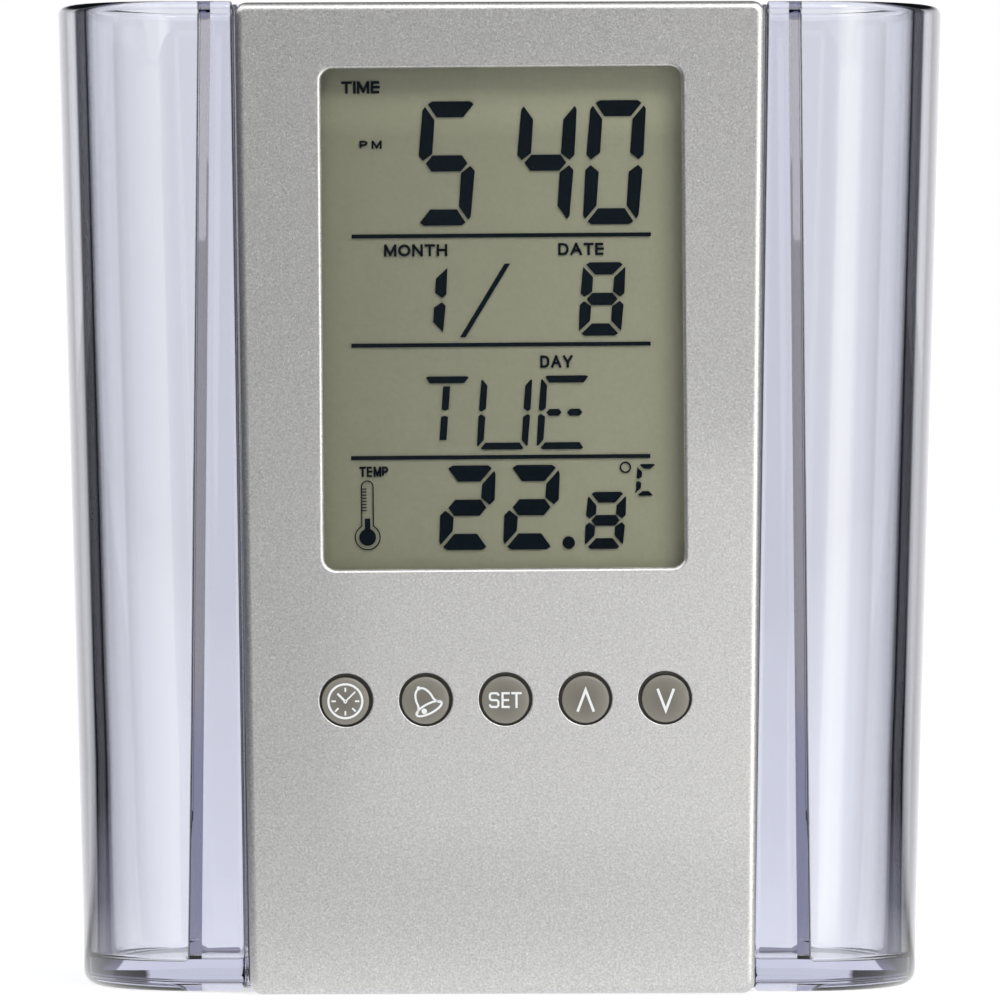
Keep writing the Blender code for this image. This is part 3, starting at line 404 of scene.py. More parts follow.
def stroke(skin, path, width, front, thickness, closed=False):
    """Pen stroke of even width along a path, as a thin solid.

    Each side lies half a width along the mitre (n1 + n2) / (1 + n1.n2) of the neighbouring
    normals, and front gives the depth of its face at x and z.
    """
    path = np.asarray(path, float)
    step = np.diff(path, axis=0, append=path[:1])
    if not closed:
        step[-1] = step[-2]
    after = step / np.linalg.norm(step, axis=1, keepdims=True)
    before = np.roll(after, 1, axis=0)
    if not closed:
        before[0] = after[0]
    after = np.stack((-after[:, 1], after[:, 0]), axis=1)
    before = np.stack((-before[:, 1], before[:, 0]), axis=1)
    mitre = (before + after) / (1 + (before * after).sum(axis=1, keepdims=True))
    sides = np.stack((path + mitre * width / 2, path - mitre * width / 2), axis=1)
    x = sides[:, [0, 1, 1, 0], 0]
    z = sides[:, [0, 1, 1, 0], 1]
    y = front(x, z) + np.array([[0.0, 0.0, thickness, thickness]])
    if closed:
        x, y, z = (np.concatenate((side, side[:1])) for side in (x, y, z))
    skin.add_grid(x, y, z, first_cap=not closed, last_cap=not closed)


def ring_path(centre, radius, steps=48):
    """Points of a circle in x and z."""
    return arc_path(centre, radius, around(steps))


def arc_path(centre, radius, angle):
    """Points centre + radius (cos a, sin a) in x and z, for the angles given."""
    return np.stack((centre[0] + radius * np.cos(angle), centre[1] + radius * np.sin(angle)),
                    axis=1)


# Each letter's width as a part of its height, and its strokes in a unit square. The O goes round
# in steps of 15 degrees and one step past its start, so that the join doesn't show.
OVAL_STEP = 0.2618
LETTERS = {
    "A": (0.86, [[(0.0, 0.0), (0.5, 1.0)], [(1.0, 0.0), (0.5, 1.0)], [(0.2, 0.34), (0.8, 0.34)]]),
    "D": (0.74, [[(0.0, 0.0), (0.0, 1.0), (0.45, 1.0), (0.78, 0.93), (0.95, 0.75), (1.0, 0.5),
                  (0.95, 0.25), (0.78, 0.07), (0.45, 0.0), (0.0, 0.0), (0.0, 0.1)]]),
    "E": (0.64, [[(1.0, 1.0), (0.0, 1.0), (0.0, 0.0), (1.0, 0.0)], [(0.0, 0.52), (0.9, 0.52)]]),
    "H": (0.70, [[(0.0, 0.0), (0.0, 1.0)], [(1.0, 0.0), (1.0, 1.0)], [(0.0, 0.52), (1.0, 0.52)]]),
    "I": (0.0, [[(0.0, 0.0), (0.0, 1.0)]]),
    "M": (0.86, [[(0.0, 0.0), (0.0, 1.0)], [(1.0, 0.0), (1.0, 1.0)], [(0.04, 1.0), (0.5, 0.08)],
                 [(0.96, 1.0), (0.5, 0.08)]]),
    "N": (0.72, [[(0.0, 0.0), (0.0, 1.0)], [(1.0, 0.0), (1.0, 1.0)], [(0.04, 1.0), (0.96, 0.0)]]),
    "O": (0.86, [[(0.5 + 0.5 * math.cos(OVAL_STEP * step), 0.5 + 0.5 * math.sin(OVAL_STEP * step))
                  for step in range(26)]]),
    "P": (0.66, [[(0.0, 0.0), (0.0, 1.0), (0.6, 1.0), (0.88, 0.93), (1.0, 0.74), (0.88, 0.54),
                  (0.6, 0.47), (0.0, 0.47)]]),
    "T": (0.70, [[(0.0, 1.0), (1.0, 1.0)], [(0.5, 1.0), (0.5, 0.0)]]),
    "Y": (0.80, [[(0.0, 1.0), (0.5, 0.42)], [(1.0, 1.0), (0.5, 0.42)], [(0.5, 0.45), (0.5, 0.0)]]),
}


def word(skin, text, box, weight, gap, face, thickness):
    """Plain letters in strokes of even width that fill a box given as left, bottom, width, height.

    Each letter has a width and paths in a unit square. The gap between the letters is a part
    of the box's height, and all widths are scaled together to fill the box. A path of two
    points is half the weight longer at each end, so that its stroke reaches the box.
    """
    left, bottom, width, height = box
    tall = height - weight
    natural = sum(LETTERS[letter][0] for letter in text) * tall
    spaces = (len(text) - 1) * (gap * height + weight)
    scale = (width - weight - spaces) / natural
    x = left + weight / 2
    for letter in text:
        wide = LETTERS[letter][0] * tall * scale
        for path in LETTERS[letter][1]:
            points = np.array(path) * (wide, tall) + (x, bottom + weight / 2)
            if len(path) == 2:
                way = (points[1] - points[0]) / np.linalg.norm(points[1] - points[0]) * weight / 2
                points = points + (-way, way)
            stroke(skin, points, weight, face, thickness)
        x += wide + gap * height + weight


# Finishes

# Most of the noise lies between these values.
NOISE_SPAN = (0.3, 0.7)


def effect_group(name, inputs, outputs, build):
    """Node group shared by several finishes, made once, with named sockets."""
    group = bpy.data.node_groups.get(name)
    if group is None:
        group = bpy.data.node_groups.new(name, "ShaderNodeTree")
        for label, kind, value in inputs:
            made = group.interface.new_socket(name=label, in_out="INPUT", socket_type=kind)
            made.default_value = value
        for label, kind in outputs:
            group.interface.new_socket(name=label, in_out="OUTPUT", socket_type=kind)
        entry, leave = group.nodes.new("NodeGroupInput"), group.nodes.new("NodeGroupOutput")
        build(group.nodes, group.links, entry.outputs, leave.inputs)
    return group


def wire(links, value, socket):
    """Feed a socket from another one, or with a plain number or a colour of three parts."""
    if isinstance(value, bpy.types.NodeSocket):
        links.new(value, socket)
    elif isinstance(value, (int, float)):
        socket.default_value = value
    else:
        socket.default_value = (*value, 1.0)


def maths(nodes, links, operation, *values):
    """One step of arithmetic on numbers or sockets."""
    node = nodes.new("ShaderNodeMath")
    node.operation = operation
    for value, socket in zip(values, node.inputs):
        wire(links, value, socket)
    return node.outputs["Value"]


def ranged(nodes, links, source, low, high, to_low, to_high):
    """Map Range node from low..high to to_low..to_high, each a number or a socket."""
    node = nodes.new("ShaderNodeMapRange")
    links.new(source, node.inputs["Value"])
    for label, value in (("From Min", low), ("From Max", high), ("To Min", to_low),
                         ("To Max", to_high)):
        wire(links, value, node.inputs[label])
    return node.outputs["Result"]


def shaded(nodes, links, colour, factor):
    """A colour times a factor that changes over the surface."""
    node = nodes.new("ShaderNodeVectorMath")
    node.operation = "SCALE"
    links.new(colour, node.inputs[0])
    links.new(factor, node.inputs["Scale"])
    return node.outputs["Vector"]


def noise_field(nodes, links, place, scale, detail):
    """Soft noise at a place, for a scale given by a socket."""
    noise = nodes.new("ShaderNodeTexNoise")
    noise.inputs["Detail"].default_value = detail
    links.new(place, noise.inputs["Vector"])
    links.new(scale, noise.inputs["Scale"])
    return noise.outputs["Fac"]


def build_moulded_grain(nodes, links, entry, leave):
    """Fine noise on the object's own coordinates that shades the colour and gives a height.

    The colour is multiplied by 1 - contrast where the noise is low and 1 + contrast where high.
    """
    place = nodes.new("ShaderNodeTexCoord").outputs["Object"]
    noise = noise_field(nodes, links, place, entry["Scale"], detail=3.0)
    less, more = (maths(nodes, links, operation, 1.0, entry["Contrast"])
                  for operation in ("SUBTRACT", "ADD"))
    factor = ranged(nodes, links, noise, *NOISE_SPAN, less, more)
    links.new(shaded(nodes, links, entry["Colour"], factor), leave["Colour"])
    links.new(noise, leave["Height"])
    links.new(ranged(nodes, links, noise, *NOISE_SPAN, entry["Gloss Low"], entry["Gloss High"]),
              leave["Roughness"])


def build_paint_flake(nodes, links, entry, leave):
    """Cells of random brightness over soft noise, as metal flakes in varnish look.

    A few of the cells are brighter still. The noise is coarser than the cells.
    """
    coarser, brightest = 0.45, 0.88
    place = nodes.new("ShaderNodeTexCoord").outputs["Object"]
    cells = nodes.new("ShaderNodeTexVoronoi")
    links.new(place, cells.inputs["Vector"])
    links.new(entry["Scale"], cells.inputs["Scale"])
    cloud = noise_field(nodes, links, place,
                        maths(nodes, links, "MULTIPLY", entry["Scale"], coarser), detail=4.0)
    split = nodes.new("ShaderNodeSeparateColor")
    links.new(cells.outputs["Color"], split.inputs["Color"])
    less, more = (maths(nodes, links, operation, 1.0, entry["Contrast"])
                  for operation in ("SUBTRACT", "ADD"))
    both = ranged(nodes, links, split.outputs["Red"], 0.0, 1.0, less, more)
    for factor in (ranged(nodes, links, cloud, *NOISE_SPAN, less, more),
                   ranged(nodes, links, split.outputs["Green"], brightest, 1.0, 1.0, more)):
        both = maths(nodes, links, "MULTIPLY", both, factor)
    links.new(shaded(nodes, links, entry["Colour"], both), leave["Colour"])
    links.new(split.outputs["Green"], leave["Height"])
    links.new(ranged(nodes, links, split.outputs["Blue"], 0.0, 1.0, entry["Gloss Low"],
                     entry["Gloss High"]), leave["Roughness"])


def effect(name):
    """The shared effect of that name: moulded grain or paint flake."""
    inputs = [("Colour", "NodeSocketColor", (0.5, 0.5, 0.5, 1.0)),
              ("Scale", "NodeSocketFloat", 1000.0), ("Contrast", "NodeSocketFloat", 0.1),
              ("Gloss Low", "NodeSocketFloat", 0.3), ("Gloss High", "NodeSocketFloat", 0.4)]
    outputs = [("Colour", "NodeSocketColor"), ("Height", "NodeSocketFloat"),
               ("Roughness", "NodeSocketFloat")]
    build = {"moulded_grain": build_moulded_grain, "paint_flake": build_paint_flake}[name]
    return effect_group(name, inputs, outputs, build)


def finish(name, colour, roughness, grain=0.3, contrast=0.06, relief=0.0,
           pattern="moulded_grain", shade=None, **plain):
    """Material with a shared effect, made once.

    Roughness is a range, grain size and relief are in millimetres, and shade gives a factor
    for the colour from the nodes. The rest are plain values for the shader's own sockets.
    """
    material = bpy.data.materials.get(name + "_finish")
    if material is not None:
        return material
    material = bpy.data.materials.new(name + "_finish")
    material.use_nodes = True
    nodes, links = material.node_tree.nodes, material.node_tree.links
    shader = nodes["Principled BSDF"]
    group = nodes.new("ShaderNodeGroup")
    group.node_tree = effect(pattern)
    group.inputs["Colour"].default_value = (*colour, 1.0)
    group.inputs["Scale"].default_value = 1.0 / (grain * MM)
    group.inputs["Contrast"].default_value = contrast
    group.inputs["Gloss Low"].default_value, group.inputs["Gloss High"].default_value = roughness
    toned = group.outputs["Colour"]
    if shade is not None:
        toned = shaded(nodes, links, toned, shade(nodes, links))
    links.new(toned, shader.inputs["Base Color"])
    links.new(group.outputs["Roughness"], shader.inputs["Roughness"])
    if relief > 0.0:
        bump = nodes.new("ShaderNodeBump")
        bump.inputs["Strength"].default_value = 1.0
        bump.inputs["Distance"].default_value = relief * MM
        links.new(group.outputs["Height"], bump.inputs["Height"])
        links.new(bump.outputs["Normal"], shader.inputs["Normal"])
    for label, value in plain.items():
        shader.inputs[label.replace("_", " ")].default_value = value
    return material


def clear_finish(name, tint, absorb=None, density=0.0):
    """Clear plastic with a faint uneven polish and, for thick parts, light lost inside."""
    material = finish(name, tint, (0.0, 0.012), grain=6.0, contrast=0.006,
                      Transmission_Weight=1.0, IOR=1.57)
    nodes, links = material.node_tree.nodes, material.node_tree.links
    inner = nodes["Material Output"].inputs["Volume"]
    if absorb is not None and not inner.is_linked:
        volume = nodes.new("ShaderNodeVolumeAbsorption")
        volume.inputs["Color"].default_value = (*absorb, 1.0)
        volume.inputs["Density"].default_value = density
        links.new(volume.outputs["Volume"], inner)
    return material


def painted_cap_light(nodes, links):
    """Factor of painted light on the keys: each cap is a little darker in the middle than at its
    edge.
    """
    layout = nodes.new("ShaderNodeUVMap")
    layout.uv_map = "cap"
    away = nodes.new("ShaderNodeVectorMath")
    away.operation = "DISTANCE"
    away.inputs[1].default_value = (0.5, 0.5, 0.0)
    links.new(layout.outputs["UV"], away.inputs[0])
    return ranged(nodes, links, away.outputs["Value"], 0.1, 0.5, 0.90, 1.30)


def painted_field_light(nodes, links):
    """Factor of painted light on the display: painted shade towards its left side, and painted
    light near its top that offsets the shadow of the window's lip.
    """
    painted_light_from, painted_light_to = LENS_HIGH.z - 9 * MM, LENS_HIGH.z - 2 * MM
    split = nodes.new("ShaderNodeSeparateXYZ")
    links.new(nodes.new("ShaderNodeTexCoord").outputs["Object"], split.inputs["Vector"])
    return maths(nodes, links, "MULTIPLY",
                 ranged(nodes, links, split.outputs["X"], FIELD_LOW.x, FIELD_HIGH.x, 0.70, 1.08),
                 ranged(nodes, links, split.outputs["Z"], painted_light_from, painted_light_to, 1.0, 1.70))


def layer_shade(nodes, links):
    """Factor of fine dark and light layers across X, as rubber connector strips have."""
    wave = nodes.new("ShaderNodeTexWave")
    wave.bands_direction = "X"
    wave.inputs["Scale"].default_value = 1500.0
    links.new(nodes.new("ShaderNodeTexCoord").outputs["Object"], wave.inputs["Vector"])
    return ranged(nodes, links, wave.outputs["Fac"], 0.4, 0.6, 0.12, 1.0)


def track_shade(nodes, links):
    """Factor of a grid of tracks, lighter than the varnish of the board."""
    upright = nodes.new("ShaderNodeMapping")
    upright.inputs["Rotation"].default_value = (math.pi / 2, 0.0, 0.0)
    links.new(nodes.new("ShaderNodeTexCoord").outputs["Object"], upright.inputs["Vector"])
    bricks = nodes.new("ShaderNodeTexBrick")
    bricks.inputs["Scale"].default_value = 180.0
    bricks.inputs["Mortar Size"].default_value = 0.03
    bricks.inputs["Color1"].default_value = bricks.inputs["Color2"].default_value = (1, 1, 1, 1)
    bricks.inputs["Mortar"].default_value = (0.0, 0.0, 0.0, 1.0)
    links.new(upright.outputs["Vector"], bricks.inputs["Vector"])
    return ranged(nodes, links, bricks.outputs["Fac"], 0.0, 1.0, 1.0, 1.9)


# Pieces


def key_middle(name):
    """Middle of a key's hole in x and z, before the module leans."""
    shell = settings().shell
    low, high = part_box(name + "_button")
    return leaned((low.x + high.x) / 2 + shell.face_shift, (low.z + high.z) / 2, shell.face_lean)


def module_half(z, shell):
    """Half width of the clock module at height z: it changes evenly from foot to rim."""
    return (shell.width - shell.taper * (1 - z / CUP_HIGH.z)) / 2


# The largest sine with which the pocket's side may land on the cup's rounded end, and the parts
# of an inset that the pocket's sides and the wall's fillet take.
STEEPEST_LANDING = 0.95
POCKET_SHARE = 0.3
FILLET_SHARE = 0.75


def cup_plan(cup, z, inset, side_x, back_y, corner, lead_x, lead_y, flat_corner=False):
    """Plan of one wall of the cup at each height z, as a path round the right half, mirrored.

    It runs along the pocket's back, round its corner and down its side, out to the front,
    then along the oval: flat front, two quarter ellipses at the end and flat rear. Where the
    pocket's side reaches past the flat front, it lands on the ellipse along its tangent. The
    pocket's corner is a quarter circle or a flat cut across it.
    """
    share = z / CUP_HIGH.z
    half_width = (cup.width - cup.width_taper * (1 - share)) / 2 - inset
    half_depth = (cup.depth - cup.depth_taper * (1 - share)) / 2 - inset
    end = cup.end_length - inset
    centre_y = (CUP_LOW.y + CUP_HIGH.y) / 2
    flat_x = half_width - end
    land_x = side_x + lead_x
    start = np.arcsin(np.clip((land_x - flat_x) / end, 0.0, STEEPEST_LANDING))
    land_y = centre_y - half_depth * np.cos(start)
    crease_y = land_y - half_depth / end * np.tan(start) * lead_x
    front_x = np.where(start > 0, land_x, flat_x)
    front_y, rear_y = centre_y - half_depth, centre_y + half_depth
    arc, sweep = quarter(10), quarter(40)
    back_end, side_start = (side_x - corner, back_y), (side_x, back_y - corner)
    pocket_corner = (straight(back_end, side_start, stations(6)) if flat_corner else
                     bend(back_end, (side_x, back_y), side_start, arc))
    runs = [straight((0.0 * side_x, back_y), back_end, stations(4)),
            pocket_corner,
            straight(side_start, (side_x, crease_y + lead_y), stations(4)),
            bend((side_x, crease_y + lead_y), (side_x, crease_y), (land_x, land_y), arc),
            straight((land_x, land_y), (front_x, land_y), stations(3)),
            bend((flat_x, front_y), (half_width, front_y), (half_width, centre_y),
                 start + (math.pi / 2 - start) * sweep / (math.pi / 2)),
            bend((half_width, centre_y), (half_width, rear_y), (flat_x, rear_y), sweep),
            straight((flat_x, rear_y), (0.0 * flat_x, rear_y), stations(4))]
    return mirrored(runs, len(z))


class PENCLOCK_OT_cup(bpy.types.Operator):
    """Build the clear cup: a wall carried round two plans, over its rim and round its floor"""

    bl_idname = "penclock.cup"
    bl_label = "Clear cup"

    def execute(self, context):
        """Carry the outer plan up from the foot and the inner plan down from the rim.

        Round the foot, the plan lies r (1 - sin a) inside at the height r (1 - cos a). Round
        the rim it lies r (1 - cos a) inside, r (1 - sin a) below the top. The inner rounds
        follow the same way, and the pocket takes a share of each inset.
        """
        cup, shell, finishes = settings().cup, settings().shell, settings().finishes
        top = CUP_HIGH.z
        guard = 0.06 * MM
        falls, grows = 1 - np.sin(quarter(11)[0]), 1 - np.cos(quarter(11)[0])
        rise = np.concatenate(([0.001], np.linspace(0.04, 0.96, 12), [0.999]))

        foot, rim = cup.foot_fillet, cup.rim_round
        span = top - foot - rim
        outer_inset = np.concatenate(([foot + guard], foot * falls, 0.0 * rise, rim * grows,
                                      [rim + guard]))
        outer_z = np.concatenate(([0.0], foot * grows, foot + span * rise, top - rim * falls,
                                  [top]))
        lip, hollow = cup.rim_inner_round, cup.cavity_fillet
        span = top - lip - cup.floor - hollow
        inner_spread = np.concatenate(([-lip - guard], -lip * falls, 0.0 * rise, hollow * grows,
                                       [hollow + guard]))
        inner_z = np.concatenate(([top], top - lip * grows, top - lip - span * rise,
                                  cup.floor + hollow * falls, [cup.floor]))

        inset, z = outer_inset[:, None], outer_z[:, None]
        narrow = POCKET_SHARE * inset
        pocket_y = CUP_LOW.y + cup.pocket_depth
        side_x = module_half(z, shell) + shell.gap + narrow
        outer = cup_plan(cup, z, inset, side_x, pocket_y + narrow, cup.pocket_corner + narrow,
                         np.maximum(cup.lead_width - narrow, guard),
                         np.maximum(cup.lead_depth - inset, guard))
        outer_grid = (*outer, z + 0 * outer[0])

        spread, z = inner_spread[:, None], inner_z[:, None]
        side_wall = cup.pocket_side_foot + (cup.pocket_side_rim - cup.pocket_side_foot) * z / top
        side_x = module_half(z, shell) + shell.gap + side_wall + spread
        fillet = np.maximum(cup.wall_fillet - FILLET_SHARE * spread, guard)
        inner = cup_plan(cup, z, cup.wall + spread, side_x,
                         pocket_y + cup.pocket_back_wall + spread, cup.wall_corner + spread,
                         fillet, fillet, flat_corner=True)
        inner_grid = (*inner, z + 0 * inner[0])

        skin = Skin()
        skin.add_grid(*(np.concatenate(pair) for pair in zip(outer_grid, inner_grid)),
                      first_cap=True, last_cap=True)
        clear = clear_finish("clear_plastic", tuple(finishes.clear), absorb=(0.30, 0.30, 0.55),
                             density=14.0)
        piece = skin.piece("clear_cup", clear, crease=50.0)
        piece.visible_shadow = False
        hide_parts("pen_cup")
        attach(piece, "holder")
        return {"FINISHED"}


class PENCLOCK_OT_shell(bpy.types.Operator):
    """Build the silver front shell: rounded outline, window with a rounded lip, holes and posts"""

    bl_idname = "penclock.shell"
    bl_label = "Silver front shell"

    def execute(self, context):
        """Carry the outline, the window and the key holes from front to back, then the posts.

        Where an edge is rounded, it lies r (1 - sin a) inside at the depth r (1 - cos a).
        """
        shell = settings().shell
        front, seam = SHELL_LOW.y, SHELL_HIGH.y
        inner = front + shell.front_wall
        guard, sharpest = 0.05 * MM, 0.25 * MM
        falls, grows = 1 - np.sin(quarter(11)[0]), 1 - np.cos(quarter(11)[0])
        skin = Skin()

        edge, wall = shell.edge_round, shell.side_wall
        inset = np.concatenate(([edge + guard], edge * falls,
                                [0, 0, 0, guard, wall - guard, wall, wall, wall]))[:, None]
        depth = np.concatenate(([front], front + edge * grows,
                                [front + edge + guard, seam - guard, seam, seam, seam, seam,
                                 seam - guard, inner]))[:, None]
        low = SHELL_LOW.z + SHELL_HIGH.x * math.sin(shell.lean) + inset
        high = SHELL_HIGH.z - inset
        x, z = outline(module_half(low, shell) - inset, module_half(high, shell) - inset, low,
                       high, np.maximum(shell.corner - inset, sharpest))
        skin.add_grid(x, depth, z)
        front_loops, back_loops = [(x[0], z[0])], [(x[-1], z[-1])]

        def lipped(lip):
            """How far an opening with a rounded lip is wider than its bore, and the depths."""
            return (np.concatenate(([lip + guard], lip * falls, [0, 0])),
                    np.concatenate(([front], front + lip * grows, [front + lip + guard, inner])))

        border, depth = (row[:, None] for row in lipped(shell.window_lip))
        half = LENS_HIGH.x - shell.window_border + border
        x, z = outline(half, half, LENS_LOW.z + shell.window_border - border,
                       LENS_HIGH.z - shell.window_border + border, shell.window_corner + border)
        x, z = leaned(x + shell.face_shift, z, shell.face_lean)
        skin.add_grid(x, depth, z)
        front_loops.append((x[0], z[0]))
        back_loops.append((x[-1], z[-1]))

        wider, depth = lipped(shell.hole_lip)
        profile = np.stack((shell.hole_diameter / 2 + wider, depth), axis=1)
        for name in KEY_NAMES:
            x, y, z = turned(profile, key_middle(name), 64)
            skin.add_grid(x, y, z)
            front_loops.append((x[0], z[0]))
            back_loops.append((x[-1], z[-1]))
        plate(skin, front, front_loops)
        plate(skin, inner, back_loops)
        skin.lean(shell.lean)

        outside, bore = shell.post_diameter / 2, shell.post_bore / 2
        root = inner - shell.front_wall / 2
        for node in ("case_screw_1", "case_screw_2", "case_screw_3", "case_screw_4", "pcb_screw_1",
                     "pcb_screw_2"):
            low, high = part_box(node)
            end = (seam if node.startswith("case") else BOARD_LOW.y) - shell.gap
            profile = [(0.0, root), (outside, root), (outside, end), (bore, end), (bore, inner),
                       (0.0, inner)]
            skin.add_grid(*turned(profile, ((low.x + high.x) / 2, (low.z + high.z) / 2), 32))

        silver = finish("silver_paint", tuple(settings().finishes.silver), (0.34, 0.44),
                        grain=shell.flake_size / MM, contrast=0.13, relief=0.004,
                        pattern="paint_flake", Metallic=0.95, Coat_Weight=1.0,
                        Coat_Roughness=0.08)
        piece = skin.piece("silver_shell", silver)
        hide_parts("front_cover")
        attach(piece, "holder")
        return {"FINISHED"}


def segment_shapes(width, height, level, upright, gap, start):
    """Outlines of a sign's bars, in x from the left and z down from the top, named by letter.

    Level and upright are the bars' thicknesses, gap is the space along their mitres and start
    is where the top bar's mitre meets the corner. The top bar, the upper left bar and the
    middle bar give all seven bars of a digit by mirroring. Two short middle bars and two
    bars in the middle of the width, for letters, come after them.
    """
    g, half, centre = gap / 2, height / 2, width / 2
    chamfer, shoulder, mitre = 0.18 * level, start + 0.30 * upright, upright + 1.3 * g
    top = [(start, chamfer), (shoulder, 0.0), (width - shoulder, 0.0), (width - start, chamfer),
           (width - mitre, level), (mitre, level)]
    left = [(start - 2.0 * g, chamfer + 1.9 * g), (0.06 * upright, 0.56 * level),
            (0.0, half - 0.47 * level), (0.35 * upright, half - 0.15 * level - 0.2 * g),
            (upright, half - 0.6 * level), (upright - 0.1 * g, level + 2.1 * g)]
    point, bevel, over, under = 0.56 * upright, 1.02 * upright, half - level / 2, half + level / 2
    middle = [(point, half), (bevel, over), (width - bevel, over), (width - point, half),
              (width - bevel, under), (bevel, under)]
    tip, outer = 0.45 * level, 1.10 * upright
    short = [(outer, half), (outer + tip, over), (centre - gap - tip, over), (centre - gap, half),
             (centre - gap - tip, under), (outer + tip, under)]
    neck, side = level + 1.2 * gap, upright / 2
    stem = [(centre - side, neck), (centre + side, neck), (centre + side, half - 0.55 * level),
            (centre, half - gap), (centre - side, half - 0.55 * level)]

    def across(shape):
        return [(width - x, z) for x, z in shape]

    def down(shape):
        return [(x, height - z) for x, z in shape]

    return {"a": top, "b": across(left), "c": across(down(left)), "d": down(top),
            "e": down(left), "f": left, "g": middle, "h": short, "i": across(short), "j": stem,
            "k": down(stem)}


DIGIT_BARS = {"0": "abcdef", "1": "bc", "2": "abdeg", "4": "bcfg", "5": "acdfg", "8": "abcdefg",
              "C": "adef", "U": "bcdef", "E": "adefhi", "T": "ajk"}

# Each sign with its left, top, width, height, the thicknesses of level and upright bars and the
# place where the top bar's mitre starts, in millimetres.
DIGITS = (
    ("5", -8.86, 89.79, 5.75, 12.48, 1.62, 1.37, 0.57),
    ("4", 1.06, 89.79, 5.75, 12.48, 1.62, 1.37, 0.57),
    ("0", 8.01, 89.79, 5.75, 12.48, 1.62, 1.37, 0.57),
    ("1", -10.37, 73.50, 4.41, 7.38, 1.23, 1.16, 0.36),
    ("8", 7.53, 73.50, 4.41, 7.38, 1.23, 1.16, 0.36),
    ("T", -8.76, 62.14, 5.19, 7.40, 0.69, 0.70, 0.44),
    ("U", -2.76, 62.14, 5.19, 7.40, 0.70, 0.70, 0.44),
    ("E", 3.25, 62.14, 5.19, 7.40, 0.70, 0.70, 0.44),
    ("2", -6.70, 53.17, 5.38, 8.50, 1.63, 1.38, 0.50),
    ("2", -0.25, 53.17, 5.38, 8.50, 1.63, 1.38, 0.50),
    ("8", 7.98, 50.41, 3.98, 5.73, 1.08, 0.99, 0.40),
    ("C", 13.20, 53.18, 2.00, 3.20, 0.48, 0.52, 0.24),
)

# Each word with its left, bottom, width, height and stroke width in millimetres, and the gap
# between its letters as a part of the height.
WORDS = (
    ("TIME", -16.08, 90.63, 3.98, 1.24, 0.27, 0.10),
    ("PM", -14.28, 85.06, 2.25, 0.83, 0.20, 0.46),
    ("MONTH", -11.88, 74.22, 6.36, 1.22, 0.25, 0.13),
    ("DATE", 5.63, 74.23, 4.67, 1.23, 0.25, 0.12),
    ("DAY", 3.74, 62.92, 3.26, 1.25, 0.25, 0.12),
    ("TEMP", -14.52, 52.08, 2.90, 1.04, 0.20, 0.06),
)

# The stroke between month and date by its corners, and the middles of the rules in x and z.
DATE_STROKE = ((-4.31, 66.06), (-3.75, 66.06), (0.79, 73.44), (0.23, 73.44))
RULES = ((-0.08, 76.27), (-0.19, 65.29), (-0.30, 53.99))


def block(low_x, low_z, high_x, high_z):
    """Corners of a four-sided sign with level and upright sides."""
    return [(low_x, low_z), (high_x, low_z), (high_x, high_z), (low_x, high_z)]


